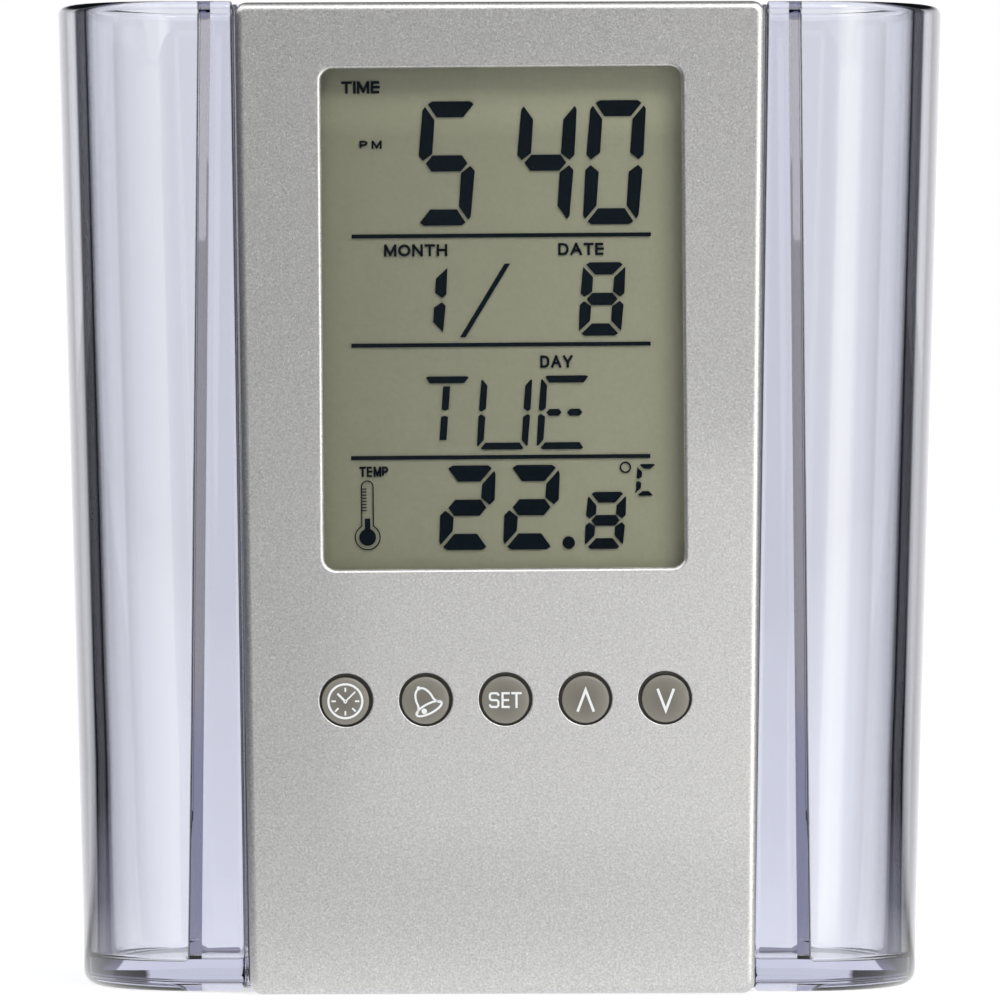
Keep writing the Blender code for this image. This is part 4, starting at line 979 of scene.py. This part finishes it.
class PENCLOCK_OT_display(bpy.types.Operator):
    """Build the display's signs: slanted digits, plain words, rules and a thermometer"""

    bl_idname = "penclock.display"
    bl_label = "Display signs"

    def execute(self, context):
        """Lay the signs out flat in front of the field, and finish the field and the lens."""
        sizes, finishes = settings().display, settings().finishes
        depths = (FIELD_LOW.y - sizes.lift, FIELD_LOW.y - sizes.lift + sizes.thickness)
        face, thickness = flat_face(depths[0]), sizes.thickness
        ink = finish("display_ink", tuple(finishes.segment), (0.5, 0.6), grain=0.25, contrast=0.2,
                     Specular_IOR_Level=0.0)

        skin = Skin()
        for sign, *places in DIGITS:
            self.add_digit(skin, sign, [place * MM for place in places], sizes, depths)
        slab(skin, np.array(DATE_STROKE) * MM, *depths)
        slab(skin, ring_path((6.47 * MM, 45.34 * MM), 0.625 * MM), *depths)
        self.carry(skin, "display_digits", ink)

        skin = Skin()
        for text, left, bottom, width, height, weight, gap in WORDS:
            word(skin, text, [side * MM for side in (left, bottom, width, height)], weight * MM,
                 gap, face, thickness)
        self.carry(skin, "display_words", ink)

        skin = Skin()
        half, breadth = sizes.rule_length / 2, sizes.rule_width / 2
        for x, z in np.array(RULES) * MM:
            slab(skin, block(x - half, z - breadth, x + half, z + breadth), *depths)
        self.carry(skin, "display_rules", ink)

        skin = Skin()
        self.add_thermometer(skin, face, thickness, depths)
        degree = ring_path((12.23 * MM, 52.86 * MM), 0.50 * MM)
        stroke(skin, degree, 0.16 * MM, face, thickness, closed=True)
        self.carry(skin, "display_icons", ink)

        # The field's finish carries painted shade on its left and painted light near its top.
        dress("lcd_glass", finish("display_field", tuple(finishes.field), (0.35, 0.45),
                                  grain=0.35, contrast=0.035, shade=painted_field_light))
        dress("lcd_window", clear_finish("clear_lens", (0.97, 0.975, 0.97)))
        frame["nodes"]["lcd_window"].visible_shadow = False
        return {"FINISHED"}

    def add_digit(self, skin, sign, places, sizes, depths):
        """One slanted digit or letter of the display, as a flat prism for each lit bar."""
        left, top, width, height, level, upright, start = places
        shapes = segment_shapes(width, height, level, upright, sizes.segment_gap, start)
        for bar in DIGIT_BARS[sign]:
            across, below = np.array(shapes[bar]).T
            x = left + across + (height - below) * sizes.slant
            slab(skin, np.stack((x, top - below), axis=1), *depths)

    def add_thermometer(self, skin, face, thickness, depths):
        """Outline of a bulb and a round-ended tube, with a filled bulb, a column and a scale."""
        centre, radius, tube = (-13.74 * MM, 46.02 * MM), 1.245 * MM, 0.58 * MM
        tube_end, line = (centre[0], 51.10 * MM), 0.11 * MM
        meet = math.asin(tube / radius)
        bulb_arc = np.linspace(math.pi / 2 - meet, -3 * math.pi / 2 + meet, 40)
        path = np.concatenate((arc_path(tube_end, tube, np.linspace(math.pi, 0.0, 16)),
                               arc_path(centre, radius, bulb_arc)))
        stroke(skin, path, line, face, thickness, closed=True)
        slab(skin, ring_path(centre, 0.85 * MM), *depths)
        column, foot, head = 0.275 * MM, centre[1] + 0.7 * MM, 47.90 * MM
        slab(skin, block(centre[0] - column, foot, centre[0] + column, head), *depths)
        gap, half = 0.08 * MM, 0.05 * MM
        for z in np.linspace(48.70, 50.88, 8) * MM:
            slab(skin, block(centre[0] - tube, z - half, centre[0] - gap, z + half), *depths)

    def carry(self, skin, name, ink):
        """Set signs straight behind the window and hang them on the holder."""
        shell = settings().shell
        skin.points = [points + (shell.face_shift, 0.0, 0.0) for points in skin.points]
        skin.lean(shell.lean + shell.face_lean)
        piece = skin.piece(name, ink)
        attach(piece, "holder")


def flat_face(y):
    """Depth of a flat face, the same at every x and z."""
    return lambda x, z: np.full(np.shape(x), y)


def dress(node, material):
    """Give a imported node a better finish, without touching its mesh."""
    body = frame["nodes"].get(node)
    if body is None:
        raise RuntimeError(f"the packed model has no node named {node}")
    body.data.materials.clear()
    body.data.materials.append(material)


def clock_sign():
    """Clock face: ring, hub, ticks on a circle and two hands, as strokes with their widths."""
    strokes = [(ring_path((0.0, 0.0), 1.70, 64), 0.22, True),
               (ring_path((0.0, -0.03), 0.13, 24), 0.13, True)]
    for degrees, inner, outer in ((90, 0.93, 1.36), (0, 0.97, 1.40), (180, 0.95, 1.40),
                                  (270, 0.98, 1.42), (-45, 0.97, 1.46), (-135, 0.97, 1.46)):
        way = np.array((math.cos(math.radians(degrees)), math.sin(math.radians(degrees))))
        strokes.append((np.stack((way * inner, way * outer)), 0.17, False))
    strokes.append((np.array([(-0.09, 0.06), (-0.79, 0.77)]), 0.22, False))
    strokes.append((np.array([(0.09, 0.06), (0.99, 0.95)]), 0.15, False))
    return strokes


def bell_sign():
    """Tilted bell: a dome that flares to an oval mouth, with a clapper and a knob on top.

    With h the height as a part of the whole, the dome's half width is waist times
    sqrt(1 - t^2) for t = (h - shoulder) / (1 - shoulder), and below the shoulder it is waist
    plus flare times (1 - h / shoulder)^2.
    """
    shoulder, waist, flare, height, line = 0.38, 0.84, 0.56, 2.25, 0.21
    h = np.linspace(0.0, 1.0, 25)
    dome = np.sqrt(np.clip(1 - ((h - shoulder) / (1 - shoulder)) ** 2, 0.0, 1.0))
    skirt = np.clip(1 - h / shoulder, 0.0, 1.0) ** 2
    half = np.where(h > shoulder, waist * dome, waist + flare * skirt)
    side = np.stack((half, height * h), axis=1)
    body = np.concatenate((side[:-1], side[::-1] * (-1, 1)))
    angle = around(48)
    mouth = np.stack((1.40 * np.cos(angle), 0.48 * np.sin(angle)), axis=1)
    clapper, knob = ring_path((-0.55, -0.02), 0.14, 20), ring_path((0.0, 2.30), 0.10, 16)
    tilt = math.radians(27.0)
    turn = np.array(((math.cos(tilt), math.sin(tilt)), (-math.sin(tilt), math.cos(tilt))))
    shift = np.array((0.36, -0.80))
    strokes = [(body, line, False), (mouth, line, True), (clapper, 0.28, True),
               (knob, 0.20, True)]
    return [(path @ turn + shift, width, closed) for path, width, closed in strokes]


def rounded(corners):
    """Path through corners, each of them replaced by a quarter circle."""
    radius, steps = 0.22, 5
    points = [corners[0]]
    angle = np.linspace(0.0, math.pi / 2, steps)[:, None]
    for before, at, after in zip(corners, corners[1:], corners[2:]):
        before, at, after = (np.array(point) for point in (before, at, after))
        leave = (before - at) / np.linalg.norm(before - at) * radius
        reach = (after - at) / np.linalg.norm(after - at) * radius
        points += list(at + leave * (1 - np.sin(angle)) + reach * (1 - np.cos(angle)))
    return np.array(points + [corners[-1]], float)


def set_sign():
    """The word SET in square strokes, with rounded bends in its S."""
    line, top, low = 0.22, 0.69, -0.69
    letter_s = [(-0.72, 0.44), (-0.72, top), (-1.57, top), (-1.57, 0.0), (-0.72, 0.0),
                (-0.72, low), (-1.57, low), (-1.57, -0.44)]
    straight_strokes = ([(0.42, top), (-0.30, top), (-0.30, low), (0.42, low)],
                        [(-0.30, 0.0), (0.36, 0.0)],
                        [(0.58, top), (1.62, top)],
                        [(1.10, top), (1.10, -0.80)])
    return [(rounded(letter_s), line, False)] + [(np.array(path), line, False)
                                                 for path in straight_strokes]


def arrow_sign(way):
    """Open arrowhead of two straight strokes that point up or down."""
    head = np.array([(-0.82, -1.12), (0.0, 1.06), (0.82, -1.12)])
    return [(head * (1, way) + (0.0, -0.10), 0.26, False)]


class PENCLOCK_OT_keys(bpy.types.Operator):
    """Build the five keys, turned with domed tops, and print their signs on the domes"""

    bl_idname = "penclock.keys"
    bl_label = "Keys and their signs"

    def execute(self, context):
        """Build each cap with its sign. The caps rest low and a little away from the middle key."""
        middle_key, spread = 2, 2.6
        sizes, finishes = settings().keys, settings().finishes
        # The keys' finish carries painted light that grows towards each cap's edge.
        plastic = finish("key_plastic", tuple(finishes.key), (0.30, 0.38), grain=0.12,
                         contrast=0.03, relief=0.002, shade=painted_cap_light)
        white = finish("white_print", tuple(finishes.print), (0.4, 0.5), grain=0.15,
                       contrast=0.03)
        signs = {"clock": clock_sign(), "alarm": bell_sign(), "set": set_sign(),
                 "up": arrow_sign(1), "down": arrow_sign(-1)}
        for index, name in enumerate(KEY_NAMES):
            low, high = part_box(name + "_button")
            middle = key_middle(name)
            aside = sizes.settle * (index - middle_key) / spread
            centre = (middle[0] + aside, middle[1] - sizes.settle)
            self.make_cap(name, middle, centre, low.y, high.y, sizes, plastic)
            skin = Skin()
            dome = self.dome_face(centre, low.y, sizes)
            for path, width, closed in signs[name]:
                stroke(skin, self.fine(path * MM, closed) + centre, width * MM, dome,
                       2 * sizes.print_height, closed)
            skin.lean(settings().shell.lean)
            sign = skin.piece(name + "_sign", white)
            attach(sign, name + "_key")
        return {"FINISHED"}

    def fine(self, path, closed):
        """The same path with more points on its long straight runs, so that it follows the dome."""
        many, parts = 12, 6
        if closed or len(path) > many:
            return path
        part = np.linspace(0.0, 1.0, parts + 1)[:-1, None]
        runs = [start + (end - start) * part for start, end in zip(path, path[1:])]
        return np.concatenate(runs + [path[-1:]])

    def dome_face(self, centre, front, sizes):
        """Depth of the dome under x and z: it falls by dome (1 - cos t) where r = R sin t."""
        radius = sizes.cap_diameter / 2

        def depth(x, z):
            reach = np.hypot(x - centre[0], z - centre[1]) / radius
            fall = sizes.dome * (1 - np.sqrt(np.clip(1 - reach ** 2, 0.0, 1.0)))
            return front + fall - sizes.print_height

        return depth

    def make_cap(self, name, middle, centre, front, back, sizes, plastic):
        """One key: a quarter-ellipse dome, straight shank, flange and stem, turned along Y.

        Its front is shifted from the hole's middle to its own centre, and a flat layout over
        the cap gives its finish the distance from the crest, by which its painted light grows
        towards the edge.
        """
        radius, flange = sizes.cap_diameter / 2, sizes.flange_diameter / 2
        angle = quarter(24)[0]
        crown = np.stack((radius * np.sin(angle), front + sizes.dome * (1 - np.cos(angle))),
                         axis=1)
        step = SHELL_LOW.y + settings().shell.front_wall + settings().shell.gap
        behind = step + sizes.flange_thickness
        rest = [(radius, step), (flange, step), (flange, behind), (radius, behind),
                (sizes.foot_diameter / 2, back), (0.0, back)]
        x, y, z = turned(np.concatenate((crown, rest)), middle, 64)
        share = np.clip((step - y) / (step - front), 0.0, 1.0)
        skin = Skin()
        skin.add_grid(x + (centre[0] - middle[0]) * share, y,
                      z + (centre[1] - middle[1]) * share)
        skin.lean(settings().shell.lean)
        cap = skin.piece(name + "_cap", plastic)
        layer = cap.data.uv_layers.new(name="cap")
        corner = np.empty(len(cap.data.loops), int)
        cap.data.loops.foreach_get("vertex_index", corner)
        place = np.empty(len(cap.data.vertices) * 3)
        cap.data.vertices.foreach_get("co", place)
        place = place.reshape(-1, 3)
        crest = place[np.argmin(place[:, 1])]
        flat = (place[corner] - crest)[:, [0, 2]] / (2 * radius) + 0.5
        layer.data.foreach_set("uv", flat.ravel())
        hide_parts(name + "_button")
        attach(cap, name + "_key")


class PENCLOCK_OT_inner_parts(bpy.types.Operator):
    """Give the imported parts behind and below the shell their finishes"""

    bl_idname = "penclock.inner_parts"
    bl_label = "Rear cover, door and inner parts"

    def execute(self, context):
        """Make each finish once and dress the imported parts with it."""
        housing = finish("housing_plastic", tuple(settings().finishes.housing), (0.42, 0.55),
                         grain=0.25, contrast=0.15, relief=0.02)
        striped = finish("striped_rubber", (0.42, 0.36, 0.38), (0.5, 0.6), grain=0.2,
                         shade=layer_shade)
        steel = finish("nickel_plate", (0.72, 0.72, 0.73), (0.12, 0.28), grain=0.8,
                       contrast=0.08, Metallic=1.0)
        spring = finish("spring_steel", (0.68, 0.67, 0.62), (0.22, 0.36), grain=0.5,
                        contrast=0.08, Metallic=1.0)
        carbon = finish("carbon_rubber", (0.02, 0.02, 0.02), (0.7, 0.8), grain=0.15,
                        contrast=0.2)
        finishes = {
            "rear_cover": housing, "battery_door": housing,
            "lcd_frame": finish("black_plastic", (0.03, 0.03, 0.03), (0.4, 0.5), contrast=0.1,
                                relief=0.01),
            "lcd_reflector": finish("reflector_film", (0.72, 0.73, 0.66), (0.5, 0.6), grain=0.2),
            "zebra_strip_upper": striped, "zebra_strip_lower": striped,
            "keypad_mat": finish("silicone_mat", (0.30, 0.29, 0.28), (0.5, 0.6), relief=0.004),
            "main_pcb": finish("circuit_board", (0.03, 0.16, 0.07), (0.25, 0.35), grain=0.4,
                               shade=track_shade),
            "chip_blob": finish("black_resin", (0.015, 0.015, 0.015), (0.15, 0.3), grain=1.5,
                                relief=0.02),
            "quartz_crystal": steel,
            "thermistor": finish("epoxy_bead", (0.10, 0.05, 0.03), (0.2, 0.3), grain=0.8,
                                 relief=0.02),
            "alarm_disc": finish("sounder_brass", (0.72, 0.55, 0.25), (0.25, 0.4), grain=0.6,
                                 Metallic=1.0),
            "battery_cell_1": steel, "battery_cell_2": steel,
            "contact_bridge": spring, "contact_positive": spring, "contact_negative": spring,
        }
        finishes.update({name + "_pill": carbon for name in KEY_NAMES})
        finishes.update({f"{kind}_screw_{number}": steel for kind in ("case", "pcb")
                         for number in range(1, 5)})
        for node, material in finishes.items():
            dress(node, material)
        return {"FINISHED"}


# Stage

# Spans over which one tone of the room fades into the next: parts of a unit direction along X
# (left, right, far right), Y (back, ahead, lens) and Z (up, overhead, ceiling, paper height),
# angles from straight behind in radians (beside, paper aside), and distances from the middle of
# the floor in metres (touching, band, far, near).
SPANS = {
    "left": (-0.65, -0.30), "right": (0.30, 0.65), "far right": (0.85, 0.93),
    "back": (0.15, 0.45), "ahead": (-0.97, -0.90), "lens": (-0.995, -0.982),
    "up": (0.30, 0.60), "overhead": (0.90, 0.96), "ceiling": (0.25, 0.50),
    "paper height": (0.10, 0.22), "beside": (1.30, 1.55), "paper aside": (0.58, 0.72),
    "touching": (0.05, 0.20), "band": (0.15, 0.50), "far": (0.6, 1.0), "near": (0.4, 5.0),
}
# The floor's bands are seen from under the cup's end, at this x on either side and this y. Close
# by, clear plastic shows the floor brighter than the room by the factor that follows.
BAND_ORIGIN = (0.0415, 0.01)
NEAR_FLOOR = 1.12


def mixed(nodes, links, factor, first, second):
    """Mix of two shaders by a factor socket."""
    node = nodes.new("ShaderNodeMixShader")
    links.new(factor, node.inputs["Fac"])
    links.new(first, node.inputs[1])
    links.new(second, node.inputs[2])
    return node.outputs["Shader"]


def tinted(nodes, links, factor, first, second):
    """Mix of two colours, each given plainly or by a socket, by a factor socket."""
    factor_input, first_colour, second_colour, mixed_colour = 0, 6, 7, 2
    node = nodes.new("ShaderNodeMix")
    node.data_type = "RGBA"
    links.new(factor, node.inputs[factor_input])
    wire(links, first, node.inputs[first_colour])
    wire(links, second, node.inputs[second_colour])
    return node.outputs[mixed_colour]


def fade(nodes, links, value, span):
    """Factor that grows from 0 to 1 while a value crosses a span, named or given by its ends."""
    low, high = SPANS[span] if isinstance(span, str) else span
    return ranged(nodes, links, value, low, high, 0.0, 1.0)


def blended(nodes, links, first, *steps):
    """Tones one after another, from the first: each step is a value, a span and its tone."""
    for value, span, colour in steps:
        first = tinted(nodes, links, fade(nodes, links, value, span), first, colour)
    return first


def glowing(nodes, links, colour, strength=1.0):
    """Light of a colour and a strength, each given plainly or by a socket."""
    node = nodes.new("ShaderNodeEmission")
    wire(links, colour, node.inputs["Color"])
    wire(links, strength, node.inputs["Strength"])
    return node.outputs["Emission"]


def bearing(nodes, links, x, y):
    """Angle from straight behind, the same to the left as to the right."""
    return maths(nodes, links, "ARCTAN2", maths(nodes, links, "ABSOLUTE", x), y)


def bounced(nodes, links, times, kind="Glossy"):
    """One for light that bounced more often than a number of times, else zero."""
    depth = nodes.new("ShaderNodeLightPath").outputs[kind + " Depth"]
    return fade(nodes, links, depth, (float(times), times + 1.0))


def banded(nodes, links, angle, stage, near, band, beyond):
    """Paper that is near up to the dark band, band in it, dim past it and beyond at the sides.

    Light that bounced inside the plastic shows a middling tone in place of the dim one.
    """
    start, end, soft = stage.band_start, stage.band_end, stage.band_soft
    aside = tinted(nodes, links, bounced(nodes, links, 0), stage.aside, stage.inside)
    return blended(nodes, links, near,
                   (angle, (start - soft, start + soft), band),
                   (angle, (end - soft, end + soft), aside),
                   (angle, "beside", beyond))


def sides(nodes, links, y, stage):
    """Room at the sides and ahead: pale straight through the plastic, dim past matt parts.

    Light that bounced inside the plastic once is bright at the sides and dim ahead, and light
    that bounced twice is bright ahead too.
    """
    clear = tinted(nodes, links, bounced(nodes, links, 0, "Diffuse"), stage.through, stage.aside)
    once = tinted(nodes, links, bounced(nodes, links, 0), clear, stage.aside)
    ahead = tinted(nodes, links, bounced(nodes, links, 1), once, stage.beside)
    aside = tinted(nodes, links, bounced(nodes, links, 0), clear, stage.beside)
    return blended(nodes, links, ahead, (y, "ahead", aside))


def reflected(nodes, links, way, stage):
    """Room as polish shows it in a direction, given by the node that splits the direction.

    From left to right it goes over the three side tones and is soft again far to the right.
    Upwards it grows light, but it is dimmer straight above and dark high up behind. Straight
    behind it is white paper. Towards the lens it is dark.
    """
    x, y, z = (way.outputs[axis] for axis in "XYZ")
    upwards = blended(nodes, links, stage.left,
                      (x, "left", stage.front), (x, "right", stage.right),
                      (x, "far right", stage.soft), (z, "up", stage.top),
                      (z, "overhead", stage.front), (y, "back", stage.band))
    past_paper = maths(nodes, links, "MAXIMUM",
                       fade(nodes, links, bearing(nodes, links, x, y), "paper aside"),
                       fade(nodes, links, maths(nodes, links, "ABSOLUTE", z), "paper height"))
    behind = tinted(nodes, links, past_paper, stage.behind, upwards)
    return blended(nodes, links, stage.band, (y, "lens", behind))


class PENCLOCK_OT_stage(bpy.types.Operator):
    """Set up the pale floor, the soft lights, the surroundings and the camera"""

    bl_idname = "penclock.stage"
    bl_label = "Stage, lights and camera"

    def execute(self, context):
        """Make the floor, the room, both lights and the camera. The low light lights the front."""
        stage = settings().stage
        self.make_floor(stage)
        self.make_world(context.scene, stage)
        self.make_light("key_light", (0.40, -0.85, 0.95), (0.55, 0.55), stage.key_power,
                        (1.0, 0.985, 0.96))
        low = self.make_light("low_light", (0.06, -0.38, 0.03), (0.16, 0.05), stage.fill_power,
                              (1.0, 0.99, 0.96))
        painted = bpy.data.collections.new("lit_low")
        for body in context.scene.objects:
            if body.name == "silver_shell" or body.name.endswith(("_cap", "_sign")):
                painted.objects.link(body)
        low.light_linking.receiver_collection = painted
        self.make_camera(context.scene, stage)
        context.scene.view_settings.view_transform = "Standard"
        context.scene.view_settings.look = "None"
        return {"FINISHED"}

    def make_floor(self, stage):
        """Round pale floor: rings of growing radius round the object, closed in the middle."""
        first, edge, height = 0.02, 30.0, -0.05 * MM
        radius = np.concatenate(([0.0], np.geomspace(first, edge, 24)))[:, None]
        angle = around(64)[None, :]
        skin = Skin()
        skin.add_grid(radius * np.cos(angle), radius * np.sin(angle), height)
        floor = skin.piece("floor_paper", self.floor_finish(stage))

    def floor_finish(self, stage):
        """Matt paper with a soft light of its own, and other tones for clear plastic and polish."""
        material = bpy.data.materials.new("floor_paper")
        material.use_nodes = True
        nodes, links = material.node_tree.nodes, material.node_tree.links
        nodes.remove(nodes["Principled BSDF"])
        rays = nodes.new("ShaderNodeLightPath").outputs
        place = nodes.new("ShaderNodeTexCoord").outputs["Object"]
        reach, unit = (nodes.new("ShaderNodeVectorMath") for _ in range(2))
        reach.operation, unit.operation = "LENGTH", "NORMALIZE"
        split, way = (nodes.new("ShaderNodeSeparateXYZ") for _ in range(2))
        for node in (reach, unit, split):
            links.new(place, node.inputs[0])
        links.new(unit.outputs["Vector"], way.inputs["Vector"])
        distance = reach.outputs["Value"]

        aside = maths(nodes, links, "ABSOLUTE", split.outputs["X"])
        angle = bearing(nodes, links, maths(nodes, links, "SUBTRACT", aside, BAND_ORIGIN[0]),
                        maths(nodes, links, "SUBTRACT", split.outputs["Y"], BAND_ORIGIN[1]))
        close = [NEAR_FLOOR * part for part in stage.through]
        near = blended(nodes, links, close, (distance, "near", stage.through))
        band = blended(nodes, links, stage.inside, (distance, "band", stage.band))
        beside = sides(nodes, links, way.outputs["Y"], stage)
        beyond = blended(nodes, links, near, (distance, "far", beside))
        dimmer = ranged(nodes, links, rays["Glossy Depth"], 0.0, 1.0, 1.0, stage.floor_glow)
        through = glowing(nodes, links, banded(nodes, links, angle, stage, near, band, beyond),
                          dimmer)
        polish = glowing(nodes, links, blended(nodes, links, stage.backdrop, (
            distance, "touching", reflected(nodes, links, way, stage))))

        pale = (0.80, 0.80, 0.80)
        matt, plain = nodes.new("ShaderNodeBsdfDiffuse"), nodes.new("ShaderNodeAddShader")
        wire(links, pale, matt.inputs["Color"])
        links.new(matt.outputs["BSDF"], plain.inputs[0])
        links.new(glowing(nodes, links, pale, 0.70), plain.inputs[1])
        seen = mixed(nodes, links, rays["Is Glossy Ray"], plain.outputs["Shader"], polish)
        links.new(mixed(nodes, links, rays["Is Transmission Ray"], seen, through),
                  nodes["Material Output"].inputs["Surface"])
        return material

    def make_world(self, scene, stage):
        """White paper all round, with upright dark bands that only plastic and polish show."""
        world = bpy.data.worlds.new("pale_room")
        scene.world = world
        world.use_nodes = True
        nodes, links = world.node_tree.nodes, world.node_tree.links
        nodes.clear()

        def paper(colour):
            node = nodes.new("ShaderNodeBackground")
            wire(links, colour, node.inputs["Color"])
            return node.outputs["Background"]

        split = nodes.new("ShaderNodeSeparateXYZ")
        links.new(nodes.new("ShaderNodeTexCoord").outputs["Generated"], split.inputs["Vector"])
        x, y, z = (split.outputs[axis] for axis in "XYZ")
        rays = nodes.new("ShaderNodeLightPath").outputs
        clear = banded(nodes, links, bearing(nodes, links, x, y), stage, stage.through,
                       stage.band, sides(nodes, links, y, stage))
        clear = blended(nodes, links, clear, (z, "ceiling", stage.through))
        soft = mixed(nodes, links, rays["Is Glossy Ray"], paper(stage.soft),
                     paper(reflected(nodes, links, split, stage)))
        through = mixed(nodes, links, rays["Is Transmission Ray"], soft, paper(clear))
        seen = mixed(nodes, links, rays["Is Camera Ray"], through, paper(stage.backdrop))
        links.new(seen, nodes.new("ShaderNodeOutputWorld").inputs["Surface"])

    def make_light(self, name, place, lengths, power, colour):
        """Soft four-sided light that faces the middle of the object."""
        middle = Vector((0.0, -0.02, 0.06))
        light = bpy.data.lights.new(name, "AREA")
        light.shape = "RECTANGLE"
        light.size, light.size_y = lengths
        light.energy = power
        light.color = colour
        body = bpy.data.objects.new(name, light)
        body.location = place
        body.rotation_euler = (middle - Vector(place)).to_track_quat("-Z", "Y").to_euler()
        body.visible_camera = body.visible_transmission = False
        bpy.context.scene.collection.objects.link(body)
        return body

    def make_camera(self, scene, stage):
        """Long lens level with the cup's middle, as the photograph was taken."""
        lens = bpy.data.cameras.new("camera")
        lens.lens = stage.camera_lens
        lens.sensor_width = 36.0
        lens.clip_start, lens.clip_end = 0.05, 100.0
        camera = bpy.data.objects.new("camera", lens)
        camera.location = (stage.camera_side, CUP_LOW.y - stage.camera_distance,
                           stage.camera_height)
        camera.rotation_euler = (math.pi / 2 - stage.camera_tilt, 0.0, 0.0)
        scene.collection.objects.link(camera)
        scene.camera = camera


OPERATORS = (PENCLOCK_OT_cup, PENCLOCK_OT_shell, PENCLOCK_OT_display, PENCLOCK_OT_keys,
             PENCLOCK_OT_inner_parts, PENCLOCK_OT_stage)


class PenClockSettings(bpy.types.PropertyGroup):
    """All sizes and colours of the dressed pen holder clock."""

    cup: PointerProperty(name="Cup", type=CupSizes)
    shell: PointerProperty(name="Shell", type=ShellSizes)
    display: PointerProperty(name="Display", type=DisplaySizes)
    keys: PointerProperty(name="Keys", type=KeySizes)
    finishes: PointerProperty(name="Finishes", type=Finishes)
    stage: PointerProperty(name="Stage", type=StageSizes)


class PENCLOCK_PT_sidebar(bpy.types.Panel):
    """Lists the pieces of the pen holder clock"""

    bl_idname = "PENCLOCK_PT_sidebar"
    bl_label = "Pen Holder Clock"
    bl_space_type = "VIEW_3D"
    bl_region_type = "UI"
    bl_category = "Pen Clock"

    def draw(self, context):
        for operator in OPERATORS:
            self.layout.operator(operator.bl_idname)
        groups = settings()
        for group in (groups.cup, groups.shell, groups.display, groups.keys, groups.finishes,
                      groups.stage):
            box = self.layout.box()
            for label in group.bl_rna.properties.keys():
                if label not in ("rna_type", "name"):
                    box.prop(group, label)


CLASSES = (CupSizes, ShellSizes, DisplaySizes, KeySizes, Finishes, StageSizes, PenClockSettings,
           *OPERATORS, PENCLOCK_PT_sidebar)


def register():
    """Register the classes and the settings."""
    for cls in CLASSES:
        bpy.utils.register_class(cls)
    bpy.types.Scene.pen_clock = PointerProperty(type=PenClockSettings)


def unregister():
    """Take the settings and the classes away again."""
    del bpy.types.Scene.pen_clock
    for cls in reversed(CLASSES):
        bpy.utils.unregister_class(cls)


def main():
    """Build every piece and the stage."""
    register()
    for operator in OPERATORS:
        family, name = operator.bl_idname.split(".")
        getattr(getattr(bpy.ops, family), name)()


if __name__ == "__main__":
    main()
